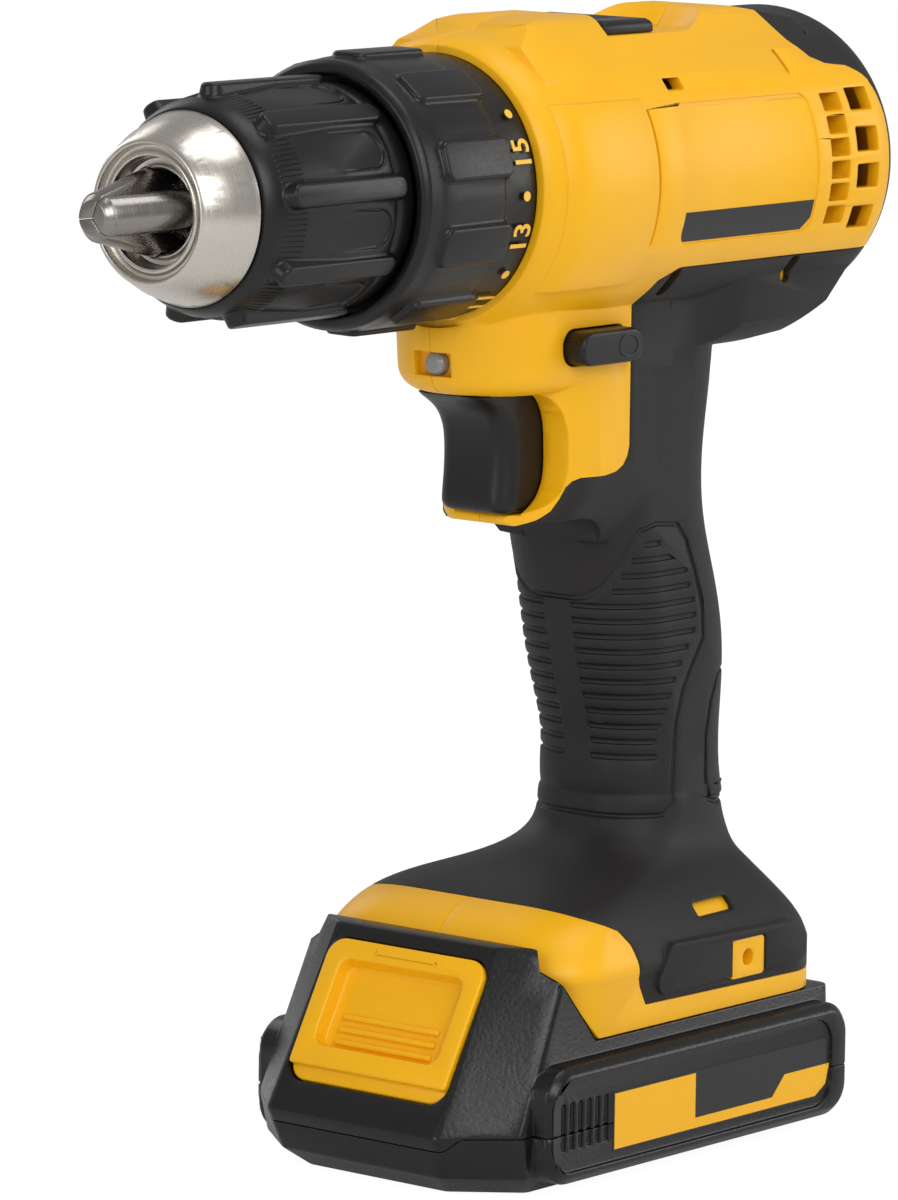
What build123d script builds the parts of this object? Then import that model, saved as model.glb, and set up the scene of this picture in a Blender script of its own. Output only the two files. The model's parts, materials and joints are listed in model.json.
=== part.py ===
"""Cordless drill driver: clamshell body, planetary gearbox, keyless chuck and slide-on battery.

Millimetres.  +X runs forward along the spindle, +Y to the operator's left, +Z up.
The origin is the centre of the battery's resting face.
"""
import os
from math import acos, atan2, cos, pi, radians, sin, tan

from build123d import *

os.makedirs("parts", exist_ok=True)

# ----------------------------------------------------------------------------
# Driving dimensions
# ----------------------------------------------------------------------------
SPINDLE_Z = 190.5            # height of the spindle above the resting face
GAP = 0.3                    # clearance between neighbouring loose pieces

# barrel of the body
BARREL_R = 30.0              # outside radius round the motor
BARREL_NOSE_R = 26.6         # outside radius at the clutch collar
BARREL_FRONT_X = 40.5        # front face, behind the clutch collar
BARREL_REAR_X = -73.0        # rear face
REAR_CORNER_R = 12.0         # rounding of the rear edge
WALL = 2.6                   # moulded wall
RUBBER = 1.6                 # depth of the overmould layer

# ridge along the top of the barrel
RIDGE_H = 31.3               # height of the ridge over the spindle
RIDGE_TOP_HALF = 10.5        # half width of the flat top
RIDGE_FOOT_HALF = 21.0       # half width where it meets the barrel
SADDLE_H = 27.4              # height of the pocket for the speed selector
SADDLE_FRONT_X = 6.3
SCOOP_X = -12.1              # centre of the round scoop behind the speed selector
SCOOP_R = 15.3
SCOOP_FLARE = 3.4            # how much wider the scoop is at the top
RIDGE_FOOT_H = 20.8          # height where it meets the barrel
RIDGE_EDGE_R = 5.0
RIDGE_FRONT_X = 32.0
RIDGE_REAR_X = -54.0
BUMPER_FRONT_X = -42.0       # front edge of the rear bumper, on top

# cheek pads over the gearbox
CHEEK_PROUD = 0.8
CHEEK_FRONT_X = 36.0
CHEEK_REAR_X = 10.6
CHEEK_TOP = 33.0             # degrees above the spindle
CHEEK_LOW = -40.0            # degrees below the spindle

# squarer underside behind the handle
BELLY_HALF = 21.5
BELLY_LOW_Z = 156.0
BELLY_FRONT_X = -14.0
BELLY_KNEE_X = -30.0         # where the underside starts to rise
BELLY_EDGE_R = 7.0

# nose over the trigger
NOSE_HALF = 17.5             # half width of the nose and trigger housing
NOSE_FRONT_X = 42.6          # at the top of the nose
NOSE_RAKE = 1.8              # how far the nose leans back over its height
NOSE_LOW_Z = 150.2           # underside of the nose
NOSE_HIGH_Z = 172.0
NOSE_EDGE_R = 5.0
CHANNEL_TOP_Z = 150.4        # roof of the trigger's channel
LED_Z = 156.4
LED_W = 9.0
LED_H = 4.6

# trigger
TRIGGER_BACK_X = 17.8        # rear edge of the trigger's opening
GUARD_TIP_X = 26.0           # tip of the lip under the trigger
GUARD_LOW_Z = 124.4          # underside of that lip

# handle: height, rear x, front x, half width
HANDLE_CORNER_R = 13.5
HANDLE = [
    (180.0, -37.0, 10.0, 17.0),
    (164.0, -35.5, 8.0, 17.0),
    (150.0, -33.0, 6.5, 17.0),
    (134.0, -31.2, 6.0, 16.8),
    (122.5, -32.2, 5.6, 16.6),
    (110.0, -36.0, 2.6, 16.6),
    (98.5, -38.8, 0.2, 16.6),
    (87.0, -39.3, -3.0, 16.4),
    (77.5, -39.0, -5.3, 16.2),
    (66.0, -40.5, -6.4, 16.2),
]

# foot: height, rear x, half width at the rear, front x, half width at the front
FOOT_CORNER_R = 13.0
FOOT_HALF = 33.0
FOOT_FRONT_X = 39.0
FOOT_REAR_X = -47.0
FOOT_LOW_Z = 28.0
FOOT = [
    (68.0, -40.2, 16.0, -6.0, 16.0),
    (61.0, -40.4, 16.4, -4.0, 16.6),
    (57.0, -40.8, 17.8, 1.0, 18.0),
    (54.3, -41.2, 19.5, 11.0, 21.0),
    (52.6, -41.6, 21.2, 22.5, 25.0),
    (50.6, -42.2, 23.4, 30.0, 28.5),
    (47.5, -43.5, 26.8, 35.0, 31.0),
    (43.5, -45.2, 30.5, 38.0, FOOT_HALF),
    (38.0, FOOT_REAR_X, FOOT_HALF, FOOT_FRONT_X, FOOT_HALF),
]

# overmould outline seen from the side
RUBBER_TOP_Z = 173.4
RUBBER_FRONT_X = 1.6
RUBBER_STEP_Z = 133.6        # shelf of the overmould behind the trigger
FOOT_STRIP_Z = 32.5          # top of the bare strip along the foot
FOOT_WRAP_X = 15.5           # rear edge of the bare front of the foot
BUMPER_REAR_X = -66.0        # front edge of the bumper on the rear face

# louvres in the motor housing
LOUVRE_SLOT_X = 9.7
LABEL_FRONT_X = 0.3
LABEL_REAR_X = -41.3
LABEL_TOP_Z = 205.4
LABEL_LOW_Z = 178.4
LABEL_DEPTH = 0.4
GRILLE_X = -48.6
GRILLE_W = 6.0
REAR_GRILLE_X = -57.6
REAR_GRILLE_W = 7.0

# pads on the sides of the foot
PAD_FRONT_X = 12.5
PAD_REAR_X = -37.0
PAD_TOP_Z = 43.5
PAD_LOW_Z = 33.2
PAD_PROUD = 1.0
INSERT_X = -18.2             # belt-hook insert
INSERT_Z = 37.3
INSERT_W = 10.6
INSERT_H = 7.8
INSERT_DEPTH = 7.0
HOOK_SCREW_R = 1.65          # tapping hole of an M4 screw

# trigger and buttons
TRIGGER_HALF = 8.8
TRIGGER_LOW_Z = 126.5        # floor of the way the trigger slides in
TRIGGER_CORNER_R = 4.0
TRIGGER_EDGE_R = 1.8
CHANNEL_HALF = 10.5          # half width of the cavity behind the trigger
REVERSE_X = 12.8             # direction button
REVERSE_Z = 159.2
REVERSE_L = 19.0
REVERSE_H = 6.6
REVERSE_PROUD = 4.6
SHIFT_TRAVEL = 5.5

# chuck
CHUCK_REAR_X = 72.2
SLEEVE_REAR_X = 71.8
SLEEVE_R = 21.75
SLEEVE_FRONT_X = 111.0
NOSE_CONE_X = 111.3
NOSE_CONE_R = 18.1
RIM_X = 122.1
RIM_R = 13.6
JAW_TIP_X = 136.8
JAW_R = 3.75
JAW_LENGTH = 34.0
JAW_ANGLE = 14.0             # degrees to the spindle
JAW_TIP_OFFSET = 0.4         # jaw axis to spindle axis at the tip
JAW_OPENING = 13.0           # largest shank
CHUCK_BODY_R = 17.6
SPINDLE_END_X = CHUCK_REAR_X + 14.0   # front end of the output spindle, inside the chuck
SCREW_SEAT_X = SPINDLE_END_X + 3.0
CHUCK_SCREW_R = 3.1
NUT_X = 104.1
NUT_WIDTH = 5.2
NUT_R = 18.3
SPINDLE_R = 6.0
RUN = 0.05                   # radial clearance of a running fit

# clutch
COLLAR_REAR_X = 40.9
COLLAR_RING_X = 50.0         # front edge of the number ring
COLLAR_FRONT_X = 73.3
COLLAR_R = 25.9
COLLAR_BORE_R = 23.0
COLLAR_LUGS = 10
NECK_R = 14.8
NECK_END_X = 66.0

# gearbox: teeth of sun, planet and ring, module, planet width
STAGE_1 = (12, 18, 48, 0.70)
STAGE_2 = (18, 12, 42, 0.80)
STAGE_3 = (20, 10, 40, 0.85)
PLANETS = 3
CASE_R = 21.8
RING_R = 20.0
CASE_FRONT_X = 32.2

# motor
MOTOR_R = 18.4
MOTOR_FRONT_X = -12.3
MOTOR_REAR_X = -65.0
SHAFT_R = 1.6

# battery
PACK_HALF = 33.0
PACK_BUMP_HALF = 37.5
PACK_REAR_X = -47.4
PACK_BUMP_FRONT_X = 47.6
PACK_SEAM_Z = 12.1
SEAM_DIP = 2.6               # how far the seam drops across the front
PACK_TOP_Z = 27.6
PACK_FRONT_X = 62.5
PACK_BUMP_TOP_Z = 25.0
PACK_BUMP_LOW_Z = 2.2
PACK_WALL = 2.2
TOWER_HALF = 23.6
TOWER_TOP_Z = 40.0
TOWER_FRONT_X = 42.0
TOWER_REAR_X = -41.7
BLOCK_TOP_Z = 46.2
CELL_R = 9.0
CELL_LENGTH = 65.0
CELL_PITCH = 18.1
CELLS = 5
LATCH_HALF = 19.5

FRONT_WALL = 3.0
GROOVE = 0.8                 # width of the outline grooves in the rubber
GROOVE_DEPTH = 0.5
RIB = 2.0
MOTOR_RIBS_X = (-52.0, -24.0)
CASE_RIBS_X = (-12.0, 22.0)
BOSS_R = 4.2
SCREWS = [
    (-58.0, 166.4), (-6.0, 163.6), (27.0, 163.2), (-25.0, 118.0), (-14.0, 76.0), (22.0, 46.8), (-38.8, 47.4),
]
SCREW_SEAT = 6.0             # the heads bear this far to the right of the joint face
SCREW_HEAD_R = 3.0
SCREW_HEAD_H = 2.4
SCREW_R = 1.5
SCREW_DEPTH = 8.5            # length in the left half
BAY_HALF = 24.2
BAY_TOP_Z = 42.0
BAY_FRONT_X = 60.0
GRILLE_ROWS = (179.4, 183.9, 188.3, 192.7, 197.1, 201.5)
REAR_GRILLE_ROWS = ((180.2, 4.4), (188.4, 4.8), (195.6, 4.8), (203.4, 4.4))

JAW_FLAT = 0.06              # jaws' faces stop this far from the spindle axis
SLEEVE_LUGS = 9
SLEEVE_BORE_R = 19.4         # room for the jaws' tails when the chuck is open
LUG_REAR_X = 48.0
LUG_FRONT_X = 67.0
FLANGE_X = 66.4
STUB_R = 12.0
NUT_REST_X = 49.0
CLUTCH_NUT_L = 6.0
WASHER_X = 33.6
WASHER_T = 1.4
SPRING_WIRE = 1.15
SPRING_R = 18.0
SPRING_TURNS = 4.5
PIN_R = 1.5
PIN_RADIUS = 18.0
PLANET_PIN_R = 1.5
STAGE_1_X = -8.8
STAGE_1_L = 6.0
STAGE_2_X = 4.2
STAGE_2_L = 6.6
STAGE_3_X = 16.4
STAGE_3_L = 7.6
CARRIER_1_X = -2.2
CARRIER_2_X = 11.3
CARRIER_3_X = 24.6
RING_3_FRONT_X = 24.9
BEARING_X = 48.0
BEARING_L = 9.0
BEARING_R = 11.0
BUSH_R = 4.0

RUBBER_WINDOWS = (
    (-4.0, 170.5, 2.6, 5.6, 1.2), (-42.0, 170.5, 2.6, 5.6, 1.2), (-13.4, 47.4, 12.0, 2.6, 0.8),
)
GRIP_RIB_ENDS = (            # rear and front end of each groove across the palm pad
    (-10.0, -5.4), (-18.0, -3.0), (-18.7, -1.8), (-19.6, -0.9), (-21.0, 12.0), (-21.6, 12.0),
    (-21.4, 12.0), (-19.4, 12.0), (-17.4, 12.0), (-15.6, 12.0), (-14.5, 12.0), (-13.7, 12.0),
    (-12.6, 12.0), (-12.2, 12.0), (-12.6, 12.0),
)
GRIP_SPINE_HALF = 3.4        # plain strip down the front of the grip
GRIP_RIB_TOP_Z = 118.5
GRIP_RIB_PITCH = 3.07
LEVER_REAR_X = -3.0
LEVER_FRONT_X = 0.0
LEVER_HALF = 2.6
LED_R = 2.4
LED_RECESS_X = 40.2
INSERT_PROUD = 0.6
SWITCH_REAR_X = -24.0
SWITCH_FRONT_X = 4.0
SWITCH_HALF = 10.2
SWITCH_LOW_Z = 129.0
SWITCH_TOP_Z = 149.8
PLUNGER_Z = 140.0
PLUNGER_R = 2.6
PLUNGER_L = 14.0
SPRING_POCKET_R = 5.0
SPRING_POCKET_L = 18.0
TRIGGER_REAR_X = 12.0
TRIGGER_TOP_Z = CHANNEL_TOP_Z - GAP
TRIGGER_FRONTS = (           # height and foremost point of each section of the finger face
    (TRIGGER_LOW_Z + GAP, 28.9), (131.0, 29.1), (136.0, 28.7), (140.3, 28.8), (144.9, 30.2), (147.7, 33.0),
    (TRIGGER_TOP_Z, 36.7),
)
TRIGGER_SPRING_R = 3.9
TRIGGER_WIRE_R = 0.45
BLADE_PLACES = (-14.0, -7.0, 0.0, 7.0, 14.0)
BLADE_T = 0.8
BLADE_LOW_Z = 32.0
WIRE_R = 0.9
FORK_X = 6.85
FORK_T = 1.1
FORK_R = 19.2                # inside radius of the fork's arc
SLOPE_TOP_X = 45.0           # point high on the battery's sloped front
SLOPE_TOP_Z = 43.0
SLOPE_RUN = 13.0
SLOPE_RISE = 23.0
FOOT_CUT_LOW_X = 27.4        # raked front edge of the foot
FOOT_CUT_HIGH_X = 39.4
FOOT_CUT_Z = 42.1
GRIP_FRONT_X = 43.0
LATCH_L = 29.0
LATCH_POCKET = 9.2
LATCH_PROUD = 0.7
LATCH_THICK = 6.0
LATCH_TONGUE = 7.5
LATCH_TONGUE_X = 33.0
CELL_LOW_Z = 4.5
TRAY_TOP_Z = 24.4

SELECTOR_REAR_X = -9.5
SELECTOR_FRONT_X = 6.0
SELECTOR_H = 2.8
SELECTOR_HALF_W = 13.0
RAIL_W = 2.5
RAIL_H = 2.8
RAIL_Z = 31.4
RAIL_GAP = 0.4

SPINDLE = Axis((0, 0, SPINDLE_Z), (1, 0, 0))


# ----------------------------------------------------------------------------
# Ways of making shapes
# ----------------------------------------------------------------------------
def across(x):
    """Plane square to the spindle at x: its first direction is +Y, its second +Z."""
    return Plane(origin=(x, 0, SPINDLE_Z), x_dir=(0, 1, 0), z_dir=(1, 0, 0))


def turn(points, mode=Mode.ADD):
    """Turn a closed outline of (x, radius) points round the spindle."""
    with BuildSketch(Plane.XZ) as half_section:
        with BuildLine():
            Polyline(*[(x, SPINDLE_Z + r) for x, r in points], close=True)
        make_face()
    revolve(half_section.sketch, axis=SPINDLE, mode=mode)


def ring(x_from, x_to, bore, radius, mode=Mode.ADD):
    """Plain ring round the spindle."""
    turn([(x_from, bore), (x_from, radius), (x_to, radius), (x_to, bore)], mode)


def rod(x_from, x_to, radius, mode=Mode.ADD):
    """Round bar on the spindle."""
    with BuildSketch(across(x_from)) as end:
        Circle(radius)
    extrude(end.sketch, amount=x_to - x_from, mode=mode)


def side_cut(points, half, mode=Mode.ADD, corner=0.0):
    """Outline seen from the side, (x, z) points, carried to half on both sides."""
    with BuildSketch(Plane.XZ) as outline:
        with BuildLine():
            Polyline(*points, close=True)
        make_face()
        if corner:
            fillet(outline.vertices(), corner)
    extrude(outline.sketch, amount=half, both=True, mode=mode)


def barrel_form(inset=0.0):
    """Barrel, drawn in by inset all round."""
    corner = REAR_CORNER_R
    rear = BARREL_REAR_X + inset
    radius = BARREL_R - inset
    bend = corner * (1 - sin(pi / 4))
    with BuildSketch(Plane.XZ) as half_section:
        with BuildLine():
            Polyline(
                (rear, SPINDLE_Z + radius - corner), (rear, SPINDLE_Z),
                (BARREL_FRONT_X - inset, SPINDLE_Z),
                (BARREL_FRONT_X - inset, SPINDLE_Z + BARREL_NOSE_R - inset),
                (BARREL_FRONT_X - 2.5 - inset, SPINDLE_Z + BARREL_NOSE_R + 1.6 - inset),
                (CHEEK_FRONT_X - 8, SPINDLE_Z + radius - 0.6), (CHEEK_REAR_X, SPINDLE_Z + radius),
                (rear + corner, SPINDLE_Z + radius),
            )
            ThreePointArc(
                (rear + corner, SPINDLE_Z + radius),
                (rear + bend, SPINDLE_Z + radius - bend),
                (rear, SPINDLE_Z + radius - corner),
            )
        make_face()
    revolve(half_section.sketch, axis=SPINDLE)


def ridge_solid(inset):
    """Trapezoid ridge on top of the barrel, cut to its side outline."""
    top = RIDGE_H - inset
    foot = RIDGE_FOOT_H - inset
    nose_h = BARREL_NOSE_R - inset
    with BuildPart() as ridge:
        with BuildSketch(across(RIDGE_REAR_X)) as section:
            with BuildLine():
                Polyline(
                    (-RIDGE_FOOT_HALF, 0), (-RIDGE_FOOT_HALF, foot), (-RIDGE_TOP_HALF, top),
                    (RIDGE_TOP_HALF, top), (RIDGE_FOOT_HALF, foot), (RIDGE_FOOT_HALF, 0), close=True,
                )
            make_face()
            corners = section.vertices().sort_by(Axis.Y)
            fillet(corners[-2:], RIDGE_EDGE_R)
        extrude(section.sketch, amount=RIDGE_FRONT_X + 2 - RIDGE_REAR_X)
        side_cut(
            [
                (RIDGE_REAR_X, SPINDLE_Z), (RIDGE_FRONT_X + 2, SPINDLE_Z),
                (RIDGE_FRONT_X + 2, SPINDLE_Z + nose_h), (RIDGE_FRONT_X - 1, SPINDLE_Z + nose_h + 1.4),
                (RIDGE_FRONT_X - 4.5, SPINDLE_Z + top - 0.9), (RIDGE_FRONT_X - 10, SPINDLE_Z + top),
                (SADDLE_FRONT_X, SPINDLE_Z + top), (BUMPER_FRONT_X + 5.0, SPINDLE_Z + top),
                (RIDGE_REAR_X, SPINDLE_Z + BARREL_R - inset - 1.5),
            ],
            BARREL_R,
            mode=Mode.INTERSECT,
        )
    return ridge.part


def saddle_solid(inset=0.0):
    """Flat-floored pocket across the ridge for the speed selector, with a round scoop behind."""
    floor = SPINDLE_Z + SADDLE_H - inset
    top = SPINDLE_Z + RIDGE_H + 6
    with BuildPart() as saddle:
        box_between((SCOOP_X, -BARREL_R, floor), (SADDLE_FRONT_X, BARREL_R, top))
        with BuildSketch(Plane.XY.offset(floor)) as low:
            with Locations((SCOOP_X, 0)):
                Circle(SCOOP_R)
        with BuildSketch(Plane.XY.offset(top)) as high:
            with Locations((SCOOP_X, 0)):
                Circle(SCOOP_R + SCOOP_FLARE * (top - floor) / (RIDGE_H - SADDLE_H))
        loft([low.sketch, high.sketch])
    return saddle.part


def belly_solid(inset):
    """Squarer underside of the motor housing, behind the handle."""
    half = BELLY_HALF - inset
    low = BELLY_LOW_Z - SPINDLE_Z + inset
    with BuildPart() as belly:
        with BuildSketch(across(BARREL_REAR_X)) as section:
            with BuildLine():
                Polyline(
                    (-half, -BARREL_R / 2), (-half, low), (half, low), (half, -BARREL_R / 2),
                    close=True,
                )
            make_face()
            fillet(section.vertices().group_by(Axis.Y)[0], BELLY_EDGE_R)
        extrude(section.sketch, amount=BELLY_FRONT_X - BARREL_REAR_X)
        side_cut(
            [
                (BELLY_FRONT_X, SPINDLE_Z), (BELLY_FRONT_X, BELLY_LOW_Z + inset),
                (BELLY_KNEE_X, BELLY_LOW_Z + inset), (BELLY_KNEE_X - 14, BELLY_LOW_Z + 1.8 + inset),
                (BELLY_KNEE_X - 26, BELLY_LOW_Z + 7.0 + inset),
                (BARREL_REAR_X + 6 + inset, BELLY_LOW_Z + 17.0), (BARREL_REAR_X + 6 + inset, SPINDLE_Z),
            ],
            BARREL_R,
            mode=Mode.INTERSECT,
        )
        with BuildSketch(Plane.XY.offset(BELLY_LOW_Z - 5)) as plan:
            with BuildLine():
                bend = BELLY_FRONT_X - 16.0
                Polyline(
                    (bend, half), (BARREL_REAR_X, half), (BARREL_REAR_X, -half), (bend, -half),
                    (BELLY_FRONT_X, -15.0), (BELLY_FRONT_X, 15.0), close=True,
                )
            make_face()
        extrude(plan.sketch, amount=60, mode=Mode.INTERSECT)
    return belly.part


def nose_solid(inset):
    """Round-fronted nose over the trigger, leaning back a little, its lower edge rounded."""
    low = NOSE_LOW_Z + inset
    radius = NOSE_HALF - inset
    lean = NOSE_RAKE / (NOSE_HIGH_Z - NOSE_LOW_Z)
    front = NOSE_FRONT_X - NOSE_RAKE + lean * (low - NOSE_LOW_Z) - inset
    with BuildPart() as nose:
        with BuildSketch(Plane.XY.offset(low)) as plan:
            with BuildLine():
                Polyline((front - radius, radius), (-12, radius), (-12, -radius), (front - radius, -radius))
                ThreePointArc((front - radius, -radius), (front, 0), (front - radius, radius))
            make_face()
        extrude(plan.sketch, amount=NOSE_HIGH_Z - low, dir=(lean, 0, 1))
        under = nose.edges().group_by(Axis.Z)[0].filter_by(lambda edge: edge.center().X > 0)
        fillet(under, NOSE_EDGE_R - inset)
    return nose.part


def guard_solid(inset):
    """Side cheeks of the trigger housing and the lip that curls under the trigger."""
    half = NOSE_HALF - inset
    back = TRIGGER_BACK_X
    tip = GUARD_TIP_X - inset / 2
    low = GUARD_LOW_Z + inset / 2
    lip = TRIGGER_LOW_Z
    with BuildPart() as guard:
        with BuildSketch(Plane.XZ) as outline:
            with BuildLine():
                Spline(
                    (back + 6.8, NOSE_LOW_Z), (back + 3.0, 149.0), (back + 0.8, 145.5), (back, 139.0),
                    (back + 0.3, 133.4), (back + 1.8, 130.2), (back + 5.2, 127.5), (tip - 0.6, lip),
                )
                ThreePointArc((tip - 0.6, lip), (tip, (lip + low) / 2), (tip - 1.0, low))
                Spline((tip - 1.0, low), (14.0, low + 0.9), (8.6 - inset, low - 0.4), (4.6 - inset, 119.4))
                Polyline(
                    (4.6 - inset, 119.4), (-14, 119.4), (-14, NOSE_LOW_Z + 8), (back + 6.8, NOSE_LOW_Z + 8),
                    (back + 6.8, NOSE_LOW_Z),
                )
            make_face()
        extrude(outline.sketch, amount=half, both=True)
        with BuildSketch(Plane.XY.offset(GUARD_LOW_Z - 10)) as plan:
            with BuildLine():
                front = GUARD_TIP_X + 1.0 - inset
                Polyline(
                    (front - half, half), (0, half), (-16, half - 1.4), (-16, 1.4 - half), (0, -half),
                    (front - half, -half),
                )
                ThreePointArc((front - half, -half), (front, 0), (front - half, half))
            make_face()
        extrude(plan.sketch, amount=60, mode=Mode.INTERSECT)
        with BuildSketch(Plane.YZ.offset(-20)) as taper:
            with BuildLine():
                for side in (1, -1):
                    Spline(
                        (side * half, 137.0), (side * (half - 0.7), 129.5), (side * (half - 2.6), 124.0),
                        (side * (half - 5.8), 118.5),
                    )
                Line((half - 5.8, 118.5), (5.8 - half, 118.5))
                Polyline((half, 137.0), (half, 180.0), (-half, 180.0), (-half, 137.0))
            make_face()
        extrude(taper.sketch, amount=60, mode=Mode.INTERSECT)
    return guard.part


def handle_form(inset=0.0):
    """Grip, lofted through its sections."""
    sections = []
    for z, rear, front, half in HANDLE:
        with BuildSketch(Plane.XY.offset(z)) as section:
            with Locations(((rear + front) / 2, 0)):
                RectangleRounded(
                    front - rear - 2 * inset, 2 * (half - inset), HANDLE_CORNER_R - inset
                )
        sections.append(section.sketch)
    loft(sections)


def foot_plan(z, rear, rear_half, front, front_half, inset):
    with BuildSketch(Plane.XY.offset(z)) as section:
        with BuildLine():
            Polyline(
                (rear + inset, -(rear_half - inset)), (rear + inset, rear_half - inset),
                (front - inset, front_half - inset), (front - inset, -(front_half - inset)),
                close=True,
            )
        make_face()
        fillet(section.vertices(), FOOT_CORNER_R - inset)
    return section.sketch


def foot_form(inset=0.0):
    """Flared foot: a loft down to the shoulder and a straight skirt below it."""
    loft([foot_plan(*row, inset) for row in FOOT])
    z, rear, rear_half, front, front_half = FOOT[-1]
    skirt = foot_plan(z, rear, rear_half, front, front_half, inset)
    extrude(skirt, amount=FOOT_LOW_Z - z, dir=(0, 0, 1))


def body_form(inset=0.0):
    """Whole outside of the body, drawn in by inset."""
    barrel_form(inset)
    add(ridge_solid(inset))
    add(belly_solid(inset))
    add(nose_solid(inset))
    add(guard_solid(inset))
    handle_form(inset)
    foot_form(inset)
    add(saddle_solid(inset), mode=Mode.SUBTRACT)


def box_between(low, high, mode=Mode.ADD):
    """Rectangular block between two opposite corners."""
    with BuildSketch(Plane.XY.offset(low[2])) as base:
        with Locations(((low[0] + high[0]) / 2, (low[1] + high[1]) / 2)):
            Rectangle(high[0] - low[0], high[1] - low[1])
    extrude(base.sketch, amount=high[2] - low[2], mode=mode)


def angle_height(degrees_up, radius=BARREL_R):
    return SPINDLE_Z + radius * sin(radians(degrees_up))


def trigger_way(mode=Mode.ADD):
    """Cavity for the switch, and the narrower mouth that the trigger slides in."""
    box_between(
        (-27, -CHANNEL_HALF - GAP, TRIGGER_LOW_Z), (7.0, CHANNEL_HALF + GAP, CHANNEL_TOP_Z), mode=mode
    )
    box_between((6.0, -TRIGGER_HALF - GAP, TRIGGER_LOW_Z), (60, TRIGGER_HALF + GAP, CHANNEL_TOP_Z), mode=mode)


def cheek_solid():
    """Raised pads over the gearbox on both sides of the barrel."""
    low = angle_height(CHEEK_LOW)
    high = angle_height(CHEEK_TOP)
    with BuildPart() as pads:
        turn(
            [
                (CHEEK_FRONT_X, BARREL_R - 3), (CHEEK_FRONT_X, BARREL_R - 1.4),
                (CHEEK_FRONT_X - 3, BARREL_R + CHEEK_PROUD - 0.5),
                (CHEEK_FRONT_X - 8, BARREL_R + CHEEK_PROUD),
                (CHEEK_REAR_X, BARREL_R + CHEEK_PROUD), (CHEEK_REAR_X, BARREL_R - 3),
            ]
        )
        side_cut(
            [(CHEEK_REAR_X, low), (CHEEK_FRONT_X, low), (CHEEK_FRONT_X, high), (CHEEK_REAR_X, high)],
            60,
            mode=Mode.INTERSECT,
        )
    return pads.part


def grip_pad_outline():
    """Side outline of the ribbed palm pad on the grip."""
    return [
        (8.0, 107.4), (1.9, 108.0), (0.7, 110.4), (-0.5, 114.3), (-1.8, 118.5), (-3.8, 121.7),
        (-8.5, 122.8), (-15.3, 122.1), (-18.2, 118.8), (-21.4, 112.0), (-24.0, 104.5), (-24.5, 98.2),
        (-21.0, 92.9), (-18.4, 88.4), (-16.8, 82.6), (-16.5, 73.6), (-16.2, 66.0), (-14.0, 63.6), (8.0, 63.2),
    ]


def back_strip_outline():
    """Side outline of the strip down the back of the grip."""
    return [
        (-50.0, 92.5), (-29.8, 91.0), (-26.9, 85.0), (-25.6, 78.5), (-25.8, 69.5), (-27.5, 65.0),
        (-31.0, 64.0), (-50.0, 64.0),
    ]


def foot_front_cut(gap):
    """Side outline of what lies ahead of and under the foot's raked front edge."""
    return [
        (38.1 - gap, 46.5), (39.4 - gap, 42.1), (27.4 - gap, FOOT_LOW_Z - 0.5),
        (FOOT_FRONT_X + 40, FOOT_LOW_Z - 0.5), (FOOT_FRONT_X + 40, 46.5),
    ]


def rubber_outline():
    """Side outline of the overmould: round the grip, under the motor, over the foot."""
    step = RUBBER_STEP_Z
    return [
        (BARREL_REAR_X - 20, RUBBER_TOP_Z), (-4.0, RUBBER_TOP_Z), (RUBBER_FRONT_X - 1.2, 171.2),
        (RUBBER_FRONT_X, 167.0), (RUBBER_FRONT_X, step + 5.2), (RUBBER_FRONT_X + 0.6, step + 3.2),
        (RUBBER_FRONT_X + 1.9, step + 1.5), (RUBBER_FRONT_X + 3.9, step + 0.5), (RUBBER_FRONT_X + 7.0, step),
        (GUARD_TIP_X - 10.8, step), (GUARD_TIP_X - 8.9, step - 0.6), (GUARD_TIP_X - 7.6, step - 1.9),
        (GUARD_TIP_X - 6.6, step - 4.1), (GUARD_TIP_X - 5.3, step - 6.3), (GUARD_TIP_X - 3.4, step - 8.0),
        (GUARD_TIP_X - 0.4, GUARD_LOW_Z - 0.4),
        (GUARD_TIP_X + 6, GUARD_LOW_Z - 2), (GUARD_TIP_X + 6, 62.0), (30.0, 58.0), (29.5, 52.5), (25.0, 50.0),
        (19.0, 47.4), (FOOT_WRAP_X + 1.4, 44.5), (FOOT_WRAP_X, FOOT_STRIP_Z + 4),
        (FOOT_WRAP_X - 2, FOOT_STRIP_Z),
        (BARREL_REAR_X - 20, FOOT_STRIP_Z - 1.5),
    ]


def bumper_plan():
    """Plan outline of the rear bumper's tongue on top of the barrel."""
    side = [
        (BUMPER_FRONT_X, 8.4), (-45.6, 15.2), (-49.3, 21.1), (-52.8, 22.4), (-58.5, 22.9),
        (-63.6, 24.7), (BUMPER_REAR_X, 27.3),
    ]
    tail = [(BARREL_REAR_X - 20, 27.3), (BARREL_REAR_X - 20, -27.3)]
    return side + tail + [(x, -y) for x, y in reversed(side)]


# ----------------------------------------------------------------------------
# Tooling forms: the outside of the body, the face under the overmould, the hollow
# ----------------------------------------------------------------------------
with BuildPart() as outer:
    body_form()
    rod(BARREL_FRONT_X, BARREL_FRONT_X + 40, BARREL_NOSE_R + 0.4, mode=Mode.SUBTRACT)
    side_cut(foot_front_cut(0), 60, mode=Mode.SUBTRACT)

with BuildPart() as under_rubber:
    body_form(RUBBER)

with BuildPart() as rubber_zone:
    side_cut(rubber_outline(), 60)

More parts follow.
